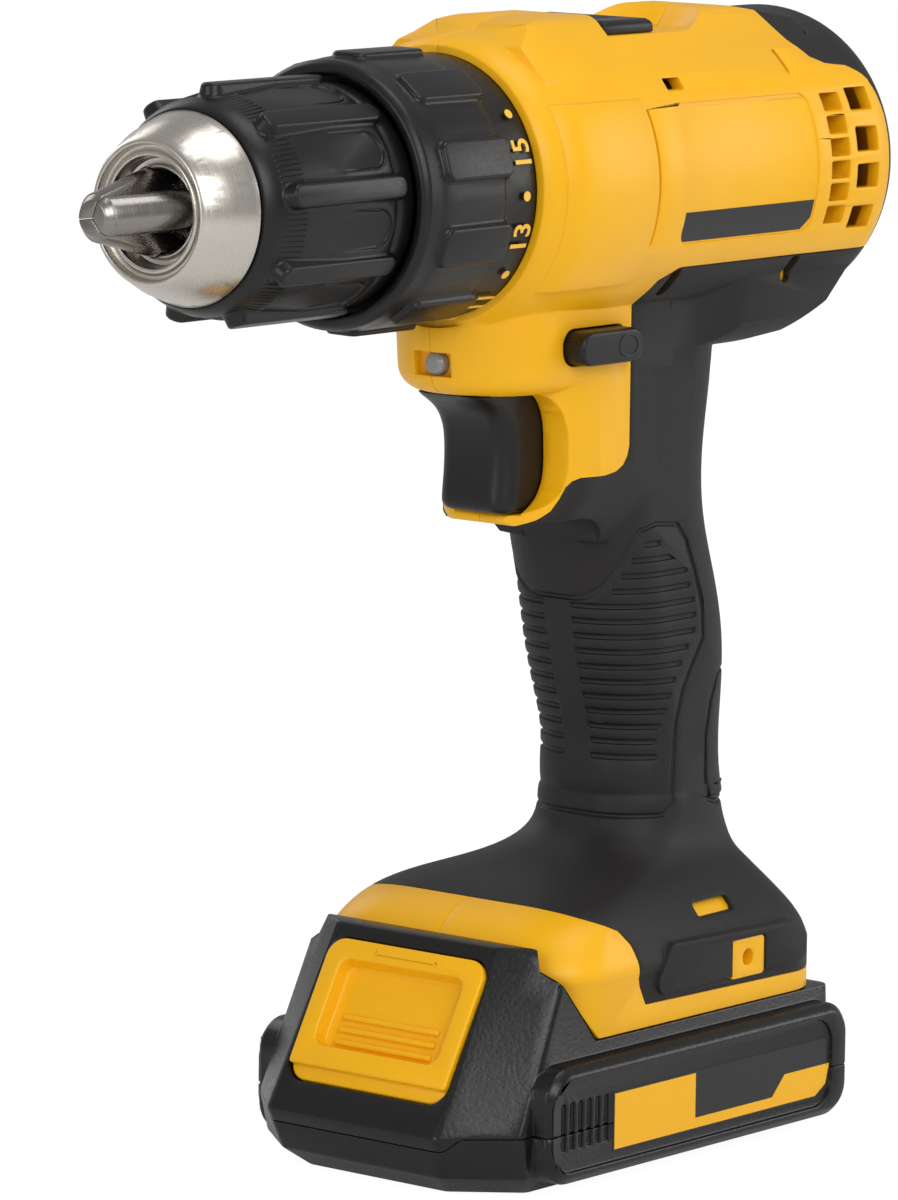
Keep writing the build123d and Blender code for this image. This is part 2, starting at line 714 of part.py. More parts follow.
with BuildPart() as covered_zone:
    with BuildSketch(Plane.XY.offset(SPINDLE_Z + 9)) as plan:
        with BuildLine():
            Polyline(*bumper_plan(), close=True)
        make_face()
    extrude(amount=40)
    side_cut(
        [
            (BUMPER_REAR_X, SPINDLE_Z + 40), (BUMPER_REAR_X, 150), (BARREL_REAR_X - 20, 150),
            (BARREL_REAR_X - 20, SPINDLE_Z + 40),
        ],
        60,
    )
    add(rubber_zone.part)

with BuildPart() as hollow:
    turn(
        [
            (BARREL_REAR_X + WALL, 0), (BARREL_REAR_X + WALL, BARREL_R - REAR_CORNER_R),
            (BARREL_REAR_X + REAR_CORNER_R, BARREL_R - WALL), (CHEEK_FRONT_X - 8, BARREL_R - WALL),
            (BARREL_FRONT_X - FRONT_WALL, BARREL_NOSE_R - WALL), (BARREL_FRONT_X - FRONT_WALL, 0),
        ]
    )
    for x in MOTOR_RIBS_X:
        turn(
            [(x, MOTOR_R + RUN), (x, BARREL_R), (x + RIB, BARREL_R), (x + RIB, MOTOR_R + RUN)],
            mode=Mode.SUBTRACT,
        )
    for x in CASE_RIBS_X:
        turn(
            [(x, CASE_R + RUN), (x, BARREL_R), (x + RIB, BARREL_R), (x + RIB, CASE_R + RUN)],
            mode=Mode.SUBTRACT,
        )
    rod(BARREL_FRONT_X - FRONT_WALL - 1, BARREL_FRONT_X + 1, SPRING_R + SPRING_WIRE + 1)
    handle_form(RUBBER + WALL)
    box_between((-28, -13.5, CHANNEL_TOP_Z + 1), (24, 13.5, 172))
    trigger_way()
    box_between((-27, -CHANNEL_HALF, CHANNEL_TOP_Z - 1), (-6, CHANNEL_HALF, CHANNEL_TOP_Z + 2))
    box_between((-42, -BAY_HALF, 0), (BAY_FRONT_X, BAY_HALF, BAY_TOP_Z))
    box_between((-35, -12, BAY_TOP_Z - 1), (-11, 12, 70))
    box_between((-36, -20, BAY_TOP_Z - 1), (-10, 20, BAY_TOP_Z + 4))
    for side in (1, -1):
        y = side * (BAY_HALF - RAIL_W / 2)
        box_between(
            (-43, y - RAIL_W / 2 - 0.01, RAIL_Z), (29, y + RAIL_W / 2 + 0.01, RAIL_Z + RAIL_H),
            mode=Mode.SUBTRACT,
        )
    box_between(
        (SELECTOR_REAR_X - SHIFT_TRAVEL - 3, -15, SPINDLE_Z + SADDLE_H - WALL),
        (SADDLE_FRONT_X + 3, 15, SPINDLE_Z + BARREL_R),
        mode=Mode.SUBTRACT,
    )

with BuildPart() as bosses:
    for x, z in SCREWS:
        with BuildSketch(Plane.XZ) as boss:
            with Locations((x, z)):
                Circle(BOSS_R)
        extrude(boss.sketch, amount=BARREL_R, both=True)
    add(under_rubber.part, mode=Mode.INTERSECT)

with BuildPart() as grip_core:
    handle_form(GROOVE_DEPTH)
    foot_form(GROOVE_DEPTH)

with BuildPart() as grip_grooves:
    for outline in (grip_pad_outline(), back_strip_outline()):
        with BuildSketch(Plane.XZ) as band:
            with BuildLine():
                Polyline(*outline, close=True)
            make_face()
            offset(amount=-GROOVE, kind=Kind.INTERSECTION, mode=Mode.SUBTRACT)
        extrude(band.sketch, amount=40, both=True)
    for k, (rear, front) in enumerate(GRIP_RIB_ENDS):
        z = GRIP_RIB_TOP_Z - k * GRIP_RIB_PITCH
        box_between((rear, -40, z - 0.5), (front, -GRIP_SPINE_HALF, z + 0.5))
        box_between((rear, GRIP_SPINE_HALF, z - 0.5), (front, 40, z + 0.5))
    add(grip_core.part, mode=Mode.SUBTRACT)

with BuildPart() as rubber_windows:
    for x, z, width, height, corner in RUBBER_WINDOWS:
        with BuildSketch(Plane.XZ) as window:
            with Locations((x, z)):
                RectangleRounded(width, height, corner)
        extrude(window.sketch, amount=40, both=True)

with BuildPart() as vents:
    slots = [(LOUVRE_SLOT_X, 178.7, 1.4, 204.9), (-2.3, 207.7, 5.2, 210.0), (-39.5, 209.0, 1.0, 213.5)]
    slots += [(GRILLE_X, z, GRILLE_W, z + 3.5) for z in GRILLE_ROWS]
    slots += [(REAR_GRILLE_X, z - h / 2, REAR_GRILLE_W, z + h / 2) for z, h in REAR_GRILLE_ROWS]
    for x, low, width, high in slots:
        with BuildSketch(Plane.XZ) as slot:
            with Locations((x, (low + high) / 2)):
                RectangleRounded(width, high - low, 0.4)
        extrude(slot.sketch, amount=40, both=True)
    rod(BARREL_REAR_X - 1, BARREL_FRONT_X + 1, BARREL_R - 6, mode=Mode.SUBTRACT)

with BuildPart() as name_panel:
    turn(
        [
            (LABEL_REAR_X, BARREL_R - LABEL_DEPTH), (LABEL_REAR_X, BARREL_R + 3),
            (LABEL_FRONT_X, BARREL_R + 3), (LABEL_FRONT_X, BARREL_R - LABEL_DEPTH),
        ]
    )
    side_cut(
        [
            (LABEL_REAR_X, LABEL_LOW_Z), (LABEL_FRONT_X, LABEL_LOW_Z), (LABEL_FRONT_X, LABEL_TOP_Z),
            (LABEL_REAR_X, LABEL_TOP_Z),
        ],
        60,
        mode=Mode.INTERSECT,
        corner=2.5,
    )

with BuildPart() as skin:
    add(outer.part)
    add(under_rubber.part, mode=Mode.SUBTRACT)
    add(covered_zone.part, mode=Mode.INTERSECT)

with BuildPart() as openings:
    with BuildSketch(Plane.XZ) as button_hole:
        with Locations((REVERSE_X, REVERSE_Z)):
            RectangleRounded(REVERSE_L + 2 * GAP, REVERSE_H + 2 * GAP, REVERSE_H / 2 - 0.1)
    extrude(button_hole.sketch, amount=40, both=True)
    box_between(
        (LEVER_REAR_X - SHIFT_TRAVEL - GAP, -LEVER_HALF - GAP, SPINDLE_Z + 20),
        (LEVER_FRONT_X + GAP, LEVER_HALF + GAP, SPINDLE_Z + BARREL_R),
    )
    box_between((NOSE_FRONT_X - 4, -LED_W / 2, LED_Z - LED_H / 2), (60, LED_W / 2, LED_Z + LED_H / 2))
    with BuildSketch(Plane.YZ.offset(20)) as led_hole:
        with Locations((0, LED_Z)):
            Circle(LED_R)
    extrude(led_hole.sketch, amount=30)
    for x, z in SCREWS:
        with BuildSketch(Plane.XZ.offset(SCREW_SEAT)) as head_way:
            with Locations((x, z)):
                Circle(SCREW_HEAD_R)
        extrude(head_way.sketch, amount=40)
        with BuildSketch(Plane.XZ.offset(SCREW_SEAT)) as shank_way:
            with Locations((x, z)):
                Circle(SCREW_R)
        extrude(shank_way.sketch, amount=-SCREW_SEAT - SCREW_DEPTH)
    for side in (1, -1):
        box_between(
            (INSERT_X - INSERT_W / 2, side * 30 - 4, INSERT_Z - INSERT_H / 2),
            (INSERT_X + INSERT_W / 2, side * 30 + 4, INSERT_Z + INSERT_H / 2),
        )

# ----------------------------------------------------------------------------
# Housing halves
# ----------------------------------------------------------------------------
with BuildPart() as housing:
    add(outer.part)
    add(cheek_solid())
    add(hollow.part, mode=Mode.SUBTRACT)
    add(bosses.part)
    add(skin.part, mode=Mode.SUBTRACT)
    add(vents.part, mode=Mode.SUBTRACT)
    add(name_panel.part, mode=Mode.SUBTRACT)
    add(openings.part, mode=Mode.SUBTRACT)

for name, keep in (("housing_left", Keep.BOTTOM), ("housing_right", Keep.TOP)):
    with BuildPart() as half:
        add(housing.part)
        split(bisect_by=Plane.XZ, keep=keep)
    half.part.label = name
    export_step(half.part, f"parts/{name}.step")

with BuildPart() as foot_pads:
    with BuildSketch(Plane.XZ) as pad:
        with BuildLine():
            Polyline(
                (PAD_FRONT_X - 6, PAD_TOP_Z), (PAD_REAR_X + 4, PAD_TOP_Z - 1), (PAD_REAR_X, PAD_TOP_Z - 4),
                (PAD_REAR_X, PAD_LOW_Z + 1), (PAD_FRONT_X, PAD_LOW_Z + 0.6), close=True,
            )
        make_face()
        fillet(pad.vertices(), 2.4)
    extrude(pad.sketch, amount=FOOT_HALF + PAD_PROUD, both=True)

with BuildPart() as grip_cover:
    add(outer.part)
    add(rubber_zone.part, mode=Mode.INTERSECT)
    add(foot_pads.part)
    add(under_rubber.part, mode=Mode.SUBTRACT)
    add(grip_grooves.part, mode=Mode.SUBTRACT)
    add(rubber_windows.part, mode=Mode.SUBTRACT)
    add(openings.part, mode=Mode.SUBTRACT)
    trigger_way(Mode.SUBTRACT)
grip_cover.part.label = "grip_cover"
export_step(grip_cover.part, "parts/grip_cover.step")

with BuildPart() as rear_bumper:
    add(outer.part)
    add(under_rubber.part, mode=Mode.SUBTRACT)
    add(covered_zone.part, mode=Mode.INTERSECT)
    add(rubber_zone.part, mode=Mode.SUBTRACT)
rear_bumper.part.label = "rear_bumper"
export_step(rear_bumper.part, "parts/rear_bumper.step")

# ----------------------------------------------------------------------------
# Chuck
# ----------------------------------------------------------------------------
def radial_plane(x, degrees_up, radius):
    """Plane touching a cylinder round the spindle: first direction along X, normal outwards."""
    angle = radians(degrees_up)
    return Plane(
        origin=(x, radius * cos(angle), SPINDLE_Z + radius * sin(angle)),
        x_dir=(1, 0, 0),
        z_dir=(0, cos(angle), sin(angle)),
    )


def jaw_plane(degrees_up, behind=0.0):
    """Plane square to a jaw's own axis, behind the tip by a distance along it."""
    angle = radians(degrees_up)
    lean = radians(JAW_ANGLE)
    out = Vector(0, cos(angle), sin(angle))
    back = Vector(-cos(lean), 0, 0) + out * sin(lean)
    start = Vector(JAW_TIP_X, 0, SPINDLE_Z) + out * JAW_TIP_OFFSET
    return Plane(origin=start + back * behind, x_dir=(0, -sin(angle), cos(angle)), z_dir=back)


def jaw_edge(x):
    """Radius of the jaws' outer line at x."""
    lean = radians(JAW_ANGLE)
    return JAW_TIP_OFFSET + (JAW_TIP_X - x) * tan(lean) + JAW_R / cos(lean)


JAW_ANGLES = (8.0, 128.0, 248.0)
nut_back = NUT_X + NUT_WIDTH

with BuildPart() as chuck_body:
    turn(
        [
            (CHUCK_REAR_X, 0), (CHUCK_REAR_X, 12.0), (CHUCK_REAR_X + 1.5, CHUCK_BODY_R - 1.5),
            (CHUCK_REAR_X + 3.0, CHUCK_BODY_R), (NUT_X - GAP, CHUCK_BODY_R),
            (NUT_X - GAP, jaw_edge(NUT_X - GAP)), (nut_back + GAP, jaw_edge(nut_back + GAP)),
            (nut_back + GAP, CHUCK_BODY_R), (NOSE_CONE_X, CHUCK_BODY_R), (NOSE_CONE_X, NOSE_CONE_R),
            (NOSE_CONE_X + 5.5, NOSE_CONE_R - 1.9), (RIM_X - 0.6, RIM_R + 0.2), (RIM_X, RIM_R - 0.4),
            (RIM_X, RIM_R - 1.0), (RIM_X - 1.6, RIM_R - 1.3), (RIM_X - 1.6, RIM_R - 2.1),
            (RIM_X - 0.9, RIM_R - 2.5), (RIM_X - 0.9, RIM_R - 3.3), (RIM_X - 4.2, RIM_R - 3.8),
            (RIM_X - 4.2, RIM_R - 4.8), (RIM_X - 3.4, RIM_R - 5.1), (RIM_X - 3.4, RIM_R - 5.6),
            (RIM_X - 7.0, RIM_R - 7.0), (RIM_X - 7.0, 0),
        ]
    )
    rod(CHUCK_REAR_X - 1, SPINDLE_END_X, SPINDLE_R, mode=Mode.SUBTRACT)
    rod(SPINDLE_END_X - 1, RIM_X, CHUCK_SCREW_R + 0.1, mode=Mode.SUBTRACT)
    rod(SCREW_SEAT_X, RIM_X + 2, JAW_OPENING / 2 + 0.1, mode=Mode.SUBTRACT)
    for angle in JAW_ANGLES:
        with BuildSketch(jaw_plane(angle, -4.0)) as bore:
            Circle(JAW_R + 0.12)
        extrude(bore.sketch, amount=JAW_LENGTH + 33.0, mode=Mode.SUBTRACT)
chuck_body.part.label = "chuck_body"
export_step(chuck_body.part, "parts/chuck_body.step")

for number, angle in enumerate(JAW_ANGLES, start=1):
    with BuildPart() as jaw:
        with BuildSketch(jaw_plane(angle, 0.0)) as end:
            Circle(JAW_R)
        extrude(end.sketch, amount=JAW_LENGTH)
        with BuildSketch(across(CHUCK_REAR_X)) as wedge:
            with BuildLine():
                reach = 40.0
                Polyline(
                    (JAW_FLAT * cos(radians(angle)), JAW_FLAT * sin(radians(angle))),
                    (reach * cos(radians(angle + 60)), reach * sin(radians(angle + 60))),
                    (reach * 2 * cos(radians(angle)), reach * 2 * sin(radians(angle))),
                    (reach * cos(radians(angle - 60)), reach * sin(radians(angle - 60))),
                    close=True,
                )
            make_face()
        extrude(wedge.sketch, amount=JAW_TIP_X - CHUCK_REAR_X + 5, mode=Mode.INTERSECT)
        turn(
            [
                (CHUCK_REAR_X, 0), (CHUCK_REAR_X, 30), (JAW_TIP_X - 1.6, 30), (JAW_TIP_X - 1.6, 4.35),
                (JAW_TIP_X, 3.2), (JAW_TIP_X, 0),
            ],
            mode=Mode.INTERSECT,
        )
    name = f"chuck_jaw_{number}"
    jaw.part.label = name
    export_step(jaw.part, f"parts/{name}.step")

with BuildPart() as jaw_nut:
    turn(
        [
            (NUT_X, jaw_edge(NUT_X) + GAP), (NUT_X, NUT_R), (nut_back, NUT_R),
            (nut_back, jaw_edge(nut_back) + GAP),
        ]
    )
jaw_nut.part.label = "jaw_nut"
export_step(jaw_nut.part, "parts/jaw_nut.step")

with BuildPart() as chuck_sleeve:
    turn(
        [
            (SLEEVE_REAR_X, CHUCK_BODY_R + GAP), (SLEEVE_REAR_X, SLEEVE_R - 0.9),
            (SLEEVE_REAR_X + 0.8, SLEEVE_R - 0.2), (SLEEVE_REAR_X + 4.4, SLEEVE_R - 0.2),
            (SLEEVE_REAR_X + 4.9, SLEEVE_R - 0.6), (SLEEVE_REAR_X + 6.5, SLEEVE_R), (90.0, SLEEVE_R),
            (102.5, SLEEVE_R - 0.9), (108.0, SLEEVE_R - 1.7), (109.8, SLEEVE_R - 2.5),
            (SLEEVE_FRONT_X, SLEEVE_R - 3.4), (SLEEVE_FRONT_X, CHUCK_BODY_R + GAP),
            (NUT_X + NUT_WIDTH, CHUCK_BODY_R + GAP), (NUT_X + NUT_WIDTH, NUT_R), (NUT_X, NUT_R),
            (NUT_X, CHUCK_BODY_R + GAP), (92.0, CHUCK_BODY_R + GAP), (88.0, SLEEVE_BORE_R),
            (76.0, SLEEVE_BORE_R), (75.0, CHUCK_BODY_R + GAP),
        ]
    )
    for k in range(SLEEVE_LUGS):
        turn_angle = 9.0 + k * 360.0 / SLEEVE_LUGS
        with BuildSketch(radial_plane(91.0, turn_angle, SLEEVE_R - 2.0)) as lug:
            SlotOverall(33.0, 5.4)
        extrude(lug.sketch, amount=3.0, taper=12)
        with BuildSketch(radial_plane(90.8, turn_angle + 180.0 / SLEEVE_LUGS, SLEEVE_R - 0.55)) as pad:
            SlotOverall(24.5, 7.4)
        extrude(pad.sketch, amount=3.0, mode=Mode.SUBTRACT)
chuck_sleeve.part.label = "chuck_sleeve"
export_step(chuck_sleeve.part, "parts/chuck_sleeve.step")

with BuildPart() as chuck_screw:
    rod(SPINDLE_END_X, SCREW_SEAT_X, CHUCK_SCREW_R)
    rod(SCREW_SEAT_X, SCREW_SEAT_X + 2.5, 4.6)
    with BuildSketch(across(SCREW_SEAT_X + 1.0)) as recess:
        RegularPolygon(2.3, 6)
    extrude(recess.sketch, amount=3, mode=Mode.SUBTRACT)
chuck_screw.part.label = "chuck_screw"
export_step(chuck_screw.part, "parts/chuck_screw.step")

# ----------------------------------------------------------------------------
# Clutch
# ----------------------------------------------------------------------------
with BuildPart() as clutch_collar:
    turn(
        [
            (COLLAR_REAR_X, COLLAR_BORE_R), (COLLAR_REAR_X, COLLAR_R - 0.7), (COLLAR_RING_X, COLLAR_R - 0.9),
            (COLLAR_RING_X + 0.8, COLLAR_R - 0.2), (LUG_FRONT_X, COLLAR_R - 0.1), (69.5, COLLAR_R - 0.5),
            (COLLAR_FRONT_X - 1.2, COLLAR_R - 0.5), (COLLAR_FRONT_X, COLLAR_R - 1.5),
            (COLLAR_FRONT_X, SLEEVE_R + 0.9), (FLANGE_X + 2.6, SLEEVE_R + 0.9),
            (FLANGE_X + 2.6, STUB_R + GAP), (FLANGE_X, STUB_R + GAP), (FLANGE_X, COLLAR_BORE_R),
        ]
    )
    for k in range(COLLAR_LUGS):
        lug_angle = 17.0 + k * 360.0 / COLLAR_LUGS
        length = LUG_FRONT_X + 1.5 - LUG_REAR_X
        with BuildSketch(radial_plane(LUG_REAR_X + length / 2, lug_angle, COLLAR_R - 2.4)) as lug:
            RectangleRounded(length, 9.0, 2.5)
        extrude(lug.sketch, amount=3.1, taper=14)
    with BuildSketch(across(COLLAR_REAR_X - 1)) as key_ways:
        with PolarLocations(COLLAR_BORE_R, 2):
            Rectangle(2.6, 4.6)
    extrude(key_ways.sketch, amount=FLANGE_X - COLLAR_REAR_X + 1, mode=Mode.SUBTRACT)
clutch_collar.part.label = "clutch_collar"
export_step(clutch_collar.part, "parts/clutch_collar.step")

with BuildPart() as clutch_nut:
    ring(NUT_REST_X, NUT_REST_X + CLUTCH_NUT_L, NECK_R + GAP, COLLAR_BORE_R - 0.9)
    with BuildSketch(across(NUT_REST_X)) as keys:
        with PolarLocations(COLLAR_BORE_R - 0.6, 2):
            Rectangle(3.0, 4.0)
    extrude(keys.sketch, amount=CLUTCH_NUT_L)
clutch_nut.part.label = "clutch_nut"
export_step(clutch_nut.part, "parts/clutch_nut.step")

with BuildPart() as clutch_hardware:
    ring(WASHER_X, WASHER_X + WASHER_T, NECK_R + 0.1, CASE_R - 1.0)
    for k in range(6):
        with BuildSketch(across(RING_3_FRONT_X + 0.1)) as pin:
            with PolarLocations(PIN_RADIUS, 1, start_angle=30 + k * 60):
                Circle(PIN_R)
        extrude(pin.sketch, amount=WASHER_X - RING_3_FRONT_X - 0.1)
    ring(FLANGE_X + 2.9, FLANGE_X + 3.7, STUB_R - 1.4, STUB_R + 1.6)
clutch_hardware.part.label = "clutch_hardware"
export_step(clutch_hardware.part, "parts/clutch_hardware.step")

spring_length = NUT_REST_X - WASHER_X - WASHER_T - 2 * SPRING_WIRE
with BuildPart() as clutch_spring:
    with BuildLine() as coil:
        Helix(
            pitch=spring_length / SPRING_TURNS, height=spring_length, radius=SPRING_R,
            center=(WASHER_X + WASHER_T + SPRING_WIRE, 0, SPINDLE_Z), direction=(1, 0, 0),
        )
    with BuildSketch(Plane(origin=coil.line @ 0, z_dir=coil.line % 0)) as wire:
        Circle(SPRING_WIRE)
    sweep(wire.sketch, path=coil.line)
clutch_spring.part.label = "clutch_spring"
export_step(clutch_spring.part, "parts/clutch_spring.step")

# ----------------------------------------------------------------------------
# Gearbox
# ----------------------------------------------------------------------------
def involute(a):
    return tan(a) - a


def gear_face(teeth, module, phase, tip, root, slack):
    """Closed outline of an involute gear, centred on the sketch.

    tip and root are measured from the pitch circle in modules, slack thins (or, for
    the hole of a ring gear, widens) each tooth at the pitch circle.
    """
    pressure = radians(20)
    pitch_r = teeth * module / 2
    base_r = pitch_r * cos(pressure)
    radii = [pitch_r - root * module, pitch_r - 0.4 * module, pitch_r, pitch_r + tip * module]

    def half_angle(radius):
        roll = acos(min(1.0, base_r / radius))
        return pi / (2 * teeth) - slack / (2 * pitch_r) + involute(pressure) - involute(roll)

    points = []
    for k in range(teeth):
        middle = phase + 2 * pi * k / teeth
        for radius in radii:
            points.append((radius, middle - half_angle(radius)))
        for radius in reversed(radii):
            points.append((radius, middle + half_angle(radius)))
    Polyline(*[(r * cos(a), r * sin(a)) for r, a in points], close=True)


def toothed(
    x_from, x_to, teeth, module, phase=0.0, centre=(0, 0), tip=0.75, root=1.15, slack=0.10,
    mode=Mode.ADD,
):
    with BuildSketch(across(x_from)) as teeth_sketch:
        with BuildLine() as outline:
            gear_face(teeth, module, phase, tip, root, slack)
        face = make_face(outline.line.edges())
    moved = teeth_sketch.sketch.moved(Location((0, centre[0], centre[1])))
    extrude(moved, amount=x_to - x_from, mode=mode)


def planet_places(stage):
    """Centre and phase of each planet, in mesh with a sun that has a tooth at zero."""
    sun, planet, ring, module = stage
    arm = (sun + planet) * module / 2
    places = []
    for k in range(PLANETS):
        angle = 2 * pi * k / PLANETS
        share = (angle * sun / (2 * pi)) % 1.0
        phase = angle + pi - 2 * pi / planet * (0.5 - share)
        places.append((arm * cos(angle), arm * sin(angle), phase))
    return places


def ring_phase(stage):
    return pi / stage[2]


def ring_gear(x_from, x_to, stage):
    rod(x_from, x_to, RING_R)
    sun, planet, ring, module = stage
    toothed(
        x_from - 1, x_to + 1, ring, module, ring_phase(stage), tip=1.15, root=0.75, slack=-0.10,
        mode=Mode.SUBTRACT,
    )


def carrier_plate(x_from, x_to, radius, stage, pins_to):
    rod(x_from, x_to, radius)
    for y, z, phase in planet_places(stage):
        with BuildSketch(across(x_from)) as pin:
            with Locations((y, z)):
                Circle(PLANET_PIN_R)
        extrude(pin.sketch, amount=pins_to - x_from)


def planet_gear(x_from, x_to, stage, place):
    sun, planet, ring, module = stage
    y, z, phase = place
    toothed(x_from, x_to, planet, module, phase, centre=(y, z))
    with BuildSketch(across(x_from)) as bore:
        with Locations((y, z)):
            Circle(PLANET_PIN_R + RUN)
    extrude(bore.sketch, amount=x_to - x_from, mode=Mode.SUBTRACT)


with BuildPart() as pinion:
    toothed(STAGE_1_X, STAGE_1_X + 6.6, STAGE_1[0], STAGE_1[3])
    rod(STAGE_1_X - 1, STAGE_1_X + 7, SHAFT_R, mode=Mode.SUBTRACT)
pinion.part.label = "pinion"
export_step(pinion.part, "parts/pinion.step")

stages = [
    (1, STAGE_1, STAGE_1_X, STAGE_1_L), (2, STAGE_2, STAGE_2_X, STAGE_2_L),
    (3, STAGE_3, STAGE_3_X, STAGE_3_L),
]
for number, stage, x, length in stages:
    for k, place in enumerate(planet_places(stage), start=1):
        with BuildPart() as planet:
            planet_gear(x, x + length, stage, place)
        name = f"planet_{number}_{k}"
        planet.part.label = name
        export_step(planet.part, f"parts/{name}.step")

with BuildPart() as carrier_1:
    carrier_plate(CARRIER_1_X, CARRIER_1_X + 2.6, 15.0, STAGE_1, STAGE_1_X + 0.3)
    toothed(CARRIER_1_X + 2.6, STAGE_2_X + STAGE_2_L, STAGE_2[0], STAGE_2[3])
carrier_1.part.label = "carrier_1"
export_step(carrier_1.part, "parts/carrier_1.step")

with BuildPart() as carrier_2:
    carrier_plate(CARRIER_2_X, CARRIER_2_X + 2.6, 15.0, STAGE_2, STAGE_2_X + 0.3)
    toothed(CARRIER_2_X + 2.6, STAGE_3_X + STAGE_3_L, STAGE_3[0], STAGE_3[3])
carrier_2.part.label = "carrier_2"
export_step(carrier_2.part, "parts/carrier_2.step")

with BuildPart() as output_spindle:
    carrier_plate(CARRIER_3_X, CARRIER_3_X + 3.2, 16.0, STAGE_3, STAGE_3_X + 0.3)
    rod(CARRIER_3_X + 3.2, SPINDLE_END_X, SPINDLE_R)
output_spindle.part.label = "output_spindle"
export_step(output_spindle.part, "parts/output_spindle.step")

with BuildPart() as ring_gear_1:
    ring_gear(STAGE_1_X - 0.4, STAGE_1_X + STAGE_1_L + 0.3, STAGE_1)
    ring(MOTOR_FRONT_X, STAGE_1_X - 0.4, 6.3, RING_R)
ring_gear_1.part.label = "ring_gear_1"
export_step(ring_gear_1.part, "parts/ring_gear_1.step")

with BuildPart() as ring_gear_2:
    ring_gear(STAGE_2_X + 0.2, STAGE_2_X + STAGE_2_L - 0.4, STAGE_2)
    groove_x = FORK_X - (1.6 - FORK_T) / 2
    ring(groove_x, groove_x + 1.6, RING_R - 1.1, RING_R + 1, mode=Mode.SUBTRACT)
ring_gear_2.part.label = "ring_gear_2"
export_step(ring_gear_2.part, "parts/ring_gear_2.step")

with BuildPart() as ring_gear_3:
    ring_gear(STAGE_3_X - 0.2, RING_3_FRONT_X, STAGE_3)
ring_gear_3.part.label = "ring_gear_3"
export_step(ring_gear_3.part, "parts/ring_gear_3.step")

with BuildPart() as gearbox_case:
    turn(
        [
            (MOTOR_FRONT_X, RING_R + RUN), (MOTOR_FRONT_X, CASE_R), (CASE_FRONT_X, CASE_R),
            (CASE_FRONT_X, NECK_R), (NECK_END_X, NECK_R), (NECK_END_X, STUB_R), (FLANGE_X + 4.2, STUB_R),
            (FLANGE_X + 4.2, SPINDLE_R + 1.0), (BEARING_X + BEARING_L, SPINDLE_R + 1.0),
            (BEARING_X + BEARING_L, BEARING_R), (CASE_FRONT_X + 5.0, BEARING_R),
            (CASE_FRONT_X + 5.0, SPINDLE_R + 1.0), (CASE_FRONT_X - 3.0, SPINDLE_R + 1.0),
            (CASE_FRONT_X - 3.0, RING_R + RUN),
        ]
    )
    for k in range(6):
        with BuildSketch(across(CASE_FRONT_X - 4)) as hole:
            with PolarLocations(PIN_RADIUS, 1, start_angle=30 + k * 60):
                Circle(PIN_R + 0.1)
        extrude(hole.sketch, amount=6, mode=Mode.SUBTRACT)
    ring(FLANGE_X + 2.8, FLANGE_X + 3.8, STUB_R - 1.5, STUB_R + 1, mode=Mode.SUBTRACT)
    with BuildSketch(Plane.XY.offset(SPINDLE_Z + 15)) as slot:
        with Locations((groove_x + 0.8 - SHIFT_TRAVEL / 2, 0)):
            Rectangle(SHIFT_TRAVEL + 3.4, 9.0)
    extrude(slot.sketch, amount=10, mode=Mode.SUBTRACT)
gearbox_case.part.label = "gearbox_case"
export_step(gearbox_case.part, "parts/gearbox_case.step")

# ----------------------------------------------------------------------------
# Motor
# ----------------------------------------------------------------------------
with BuildPart() as motor_can:
    turn(
        [
            (MOTOR_REAR_X, MOTOR_R - 1.4), (MOTOR_REAR_X, MOTOR_R), (MOTOR_FRONT_X - 0.8, MOTOR_R),
            (MOTOR_FRONT_X, MOTOR_R - 0.8), (MOTOR_FRONT_X, 6.2), (MOTOR_FRONT_X + 1.6, 6.2),
            (MOTOR_FRONT_X + 1.6, BUSH_R), (MOTOR_FRONT_X - 4.0, BUSH_R), (MOTOR_FRONT_X - 4.0, 6.5),
            (MOTOR_FRONT_X - 1.5, 8.0), (MOTOR_FRONT_X - 1.5, MOTOR_R - 1.4),
        ]
    )
    with BuildSketch(across(MOTOR_FRONT_X - 3)) as vent:
        with PolarLocations(11.8, 4, start_angle=45):
            SlotOverall(5.0, 3.2)
    extrude(vent.sketch, amount=4, mode=Mode.SUBTRACT)
motor_can.part.label = "motor_can"
export_step(motor_can.part, "parts/motor_can.step")

with BuildPart() as motor_magnets:
    ring(-52.0, -20.0, 14.6, MOTOR_R - 1.4)
    with BuildSketch(across(-53)) as split_gap:
        Rectangle(5.0, 50)
    extrude(split_gap.sketch, amount=40, mode=Mode.SUBTRACT)
motor_magnets.part.label = "motor_magnets"
export_step(motor_magnets.part, "parts/motor_magnets.step")

with BuildPart() as motor_shaft:
    rod(MOTOR_REAR_X - 5.0, STAGE_1_X + 6.6, SHAFT_R)
motor_shaft.part.label = "motor_shaft"
export_step(motor_shaft.part, "parts/motor_shaft.step")

with BuildPart() as armature:
    rod(-50.0, -24.0, 13.6)
    with BuildSketch(across(-51)) as slots:
        with PolarLocations(13.6, 5):
            Rectangle(8.0, 1.6)
    extrude(slots.sketch, amount=28, mode=Mode.SUBTRACT)
    rod(-51.0, -23.0, SHAFT_R, mode=Mode.SUBTRACT)
armature.part.label = "armature"
export_step(armature.part, "parts/armature.step")

with BuildPart() as motor_fan:
    rod(-19.4, -17.6, 5.0)
    with BuildSketch(across(-19.4)) as blades:
        Circle(12.5)
        Circle(11.7, mode=Mode.SUBTRACT)
        with PolarLocations(8.2, 9):
            Rectangle(8.0, 1.0, rotation=18)
    extrude(blades.sketch, amount=2.6)
    rod(-20, -16, SHAFT_R, mode=Mode.SUBTRACT)
motor_fan.part.label = "motor_fan"
export_step(motor_fan.part, "parts/motor_fan.step")

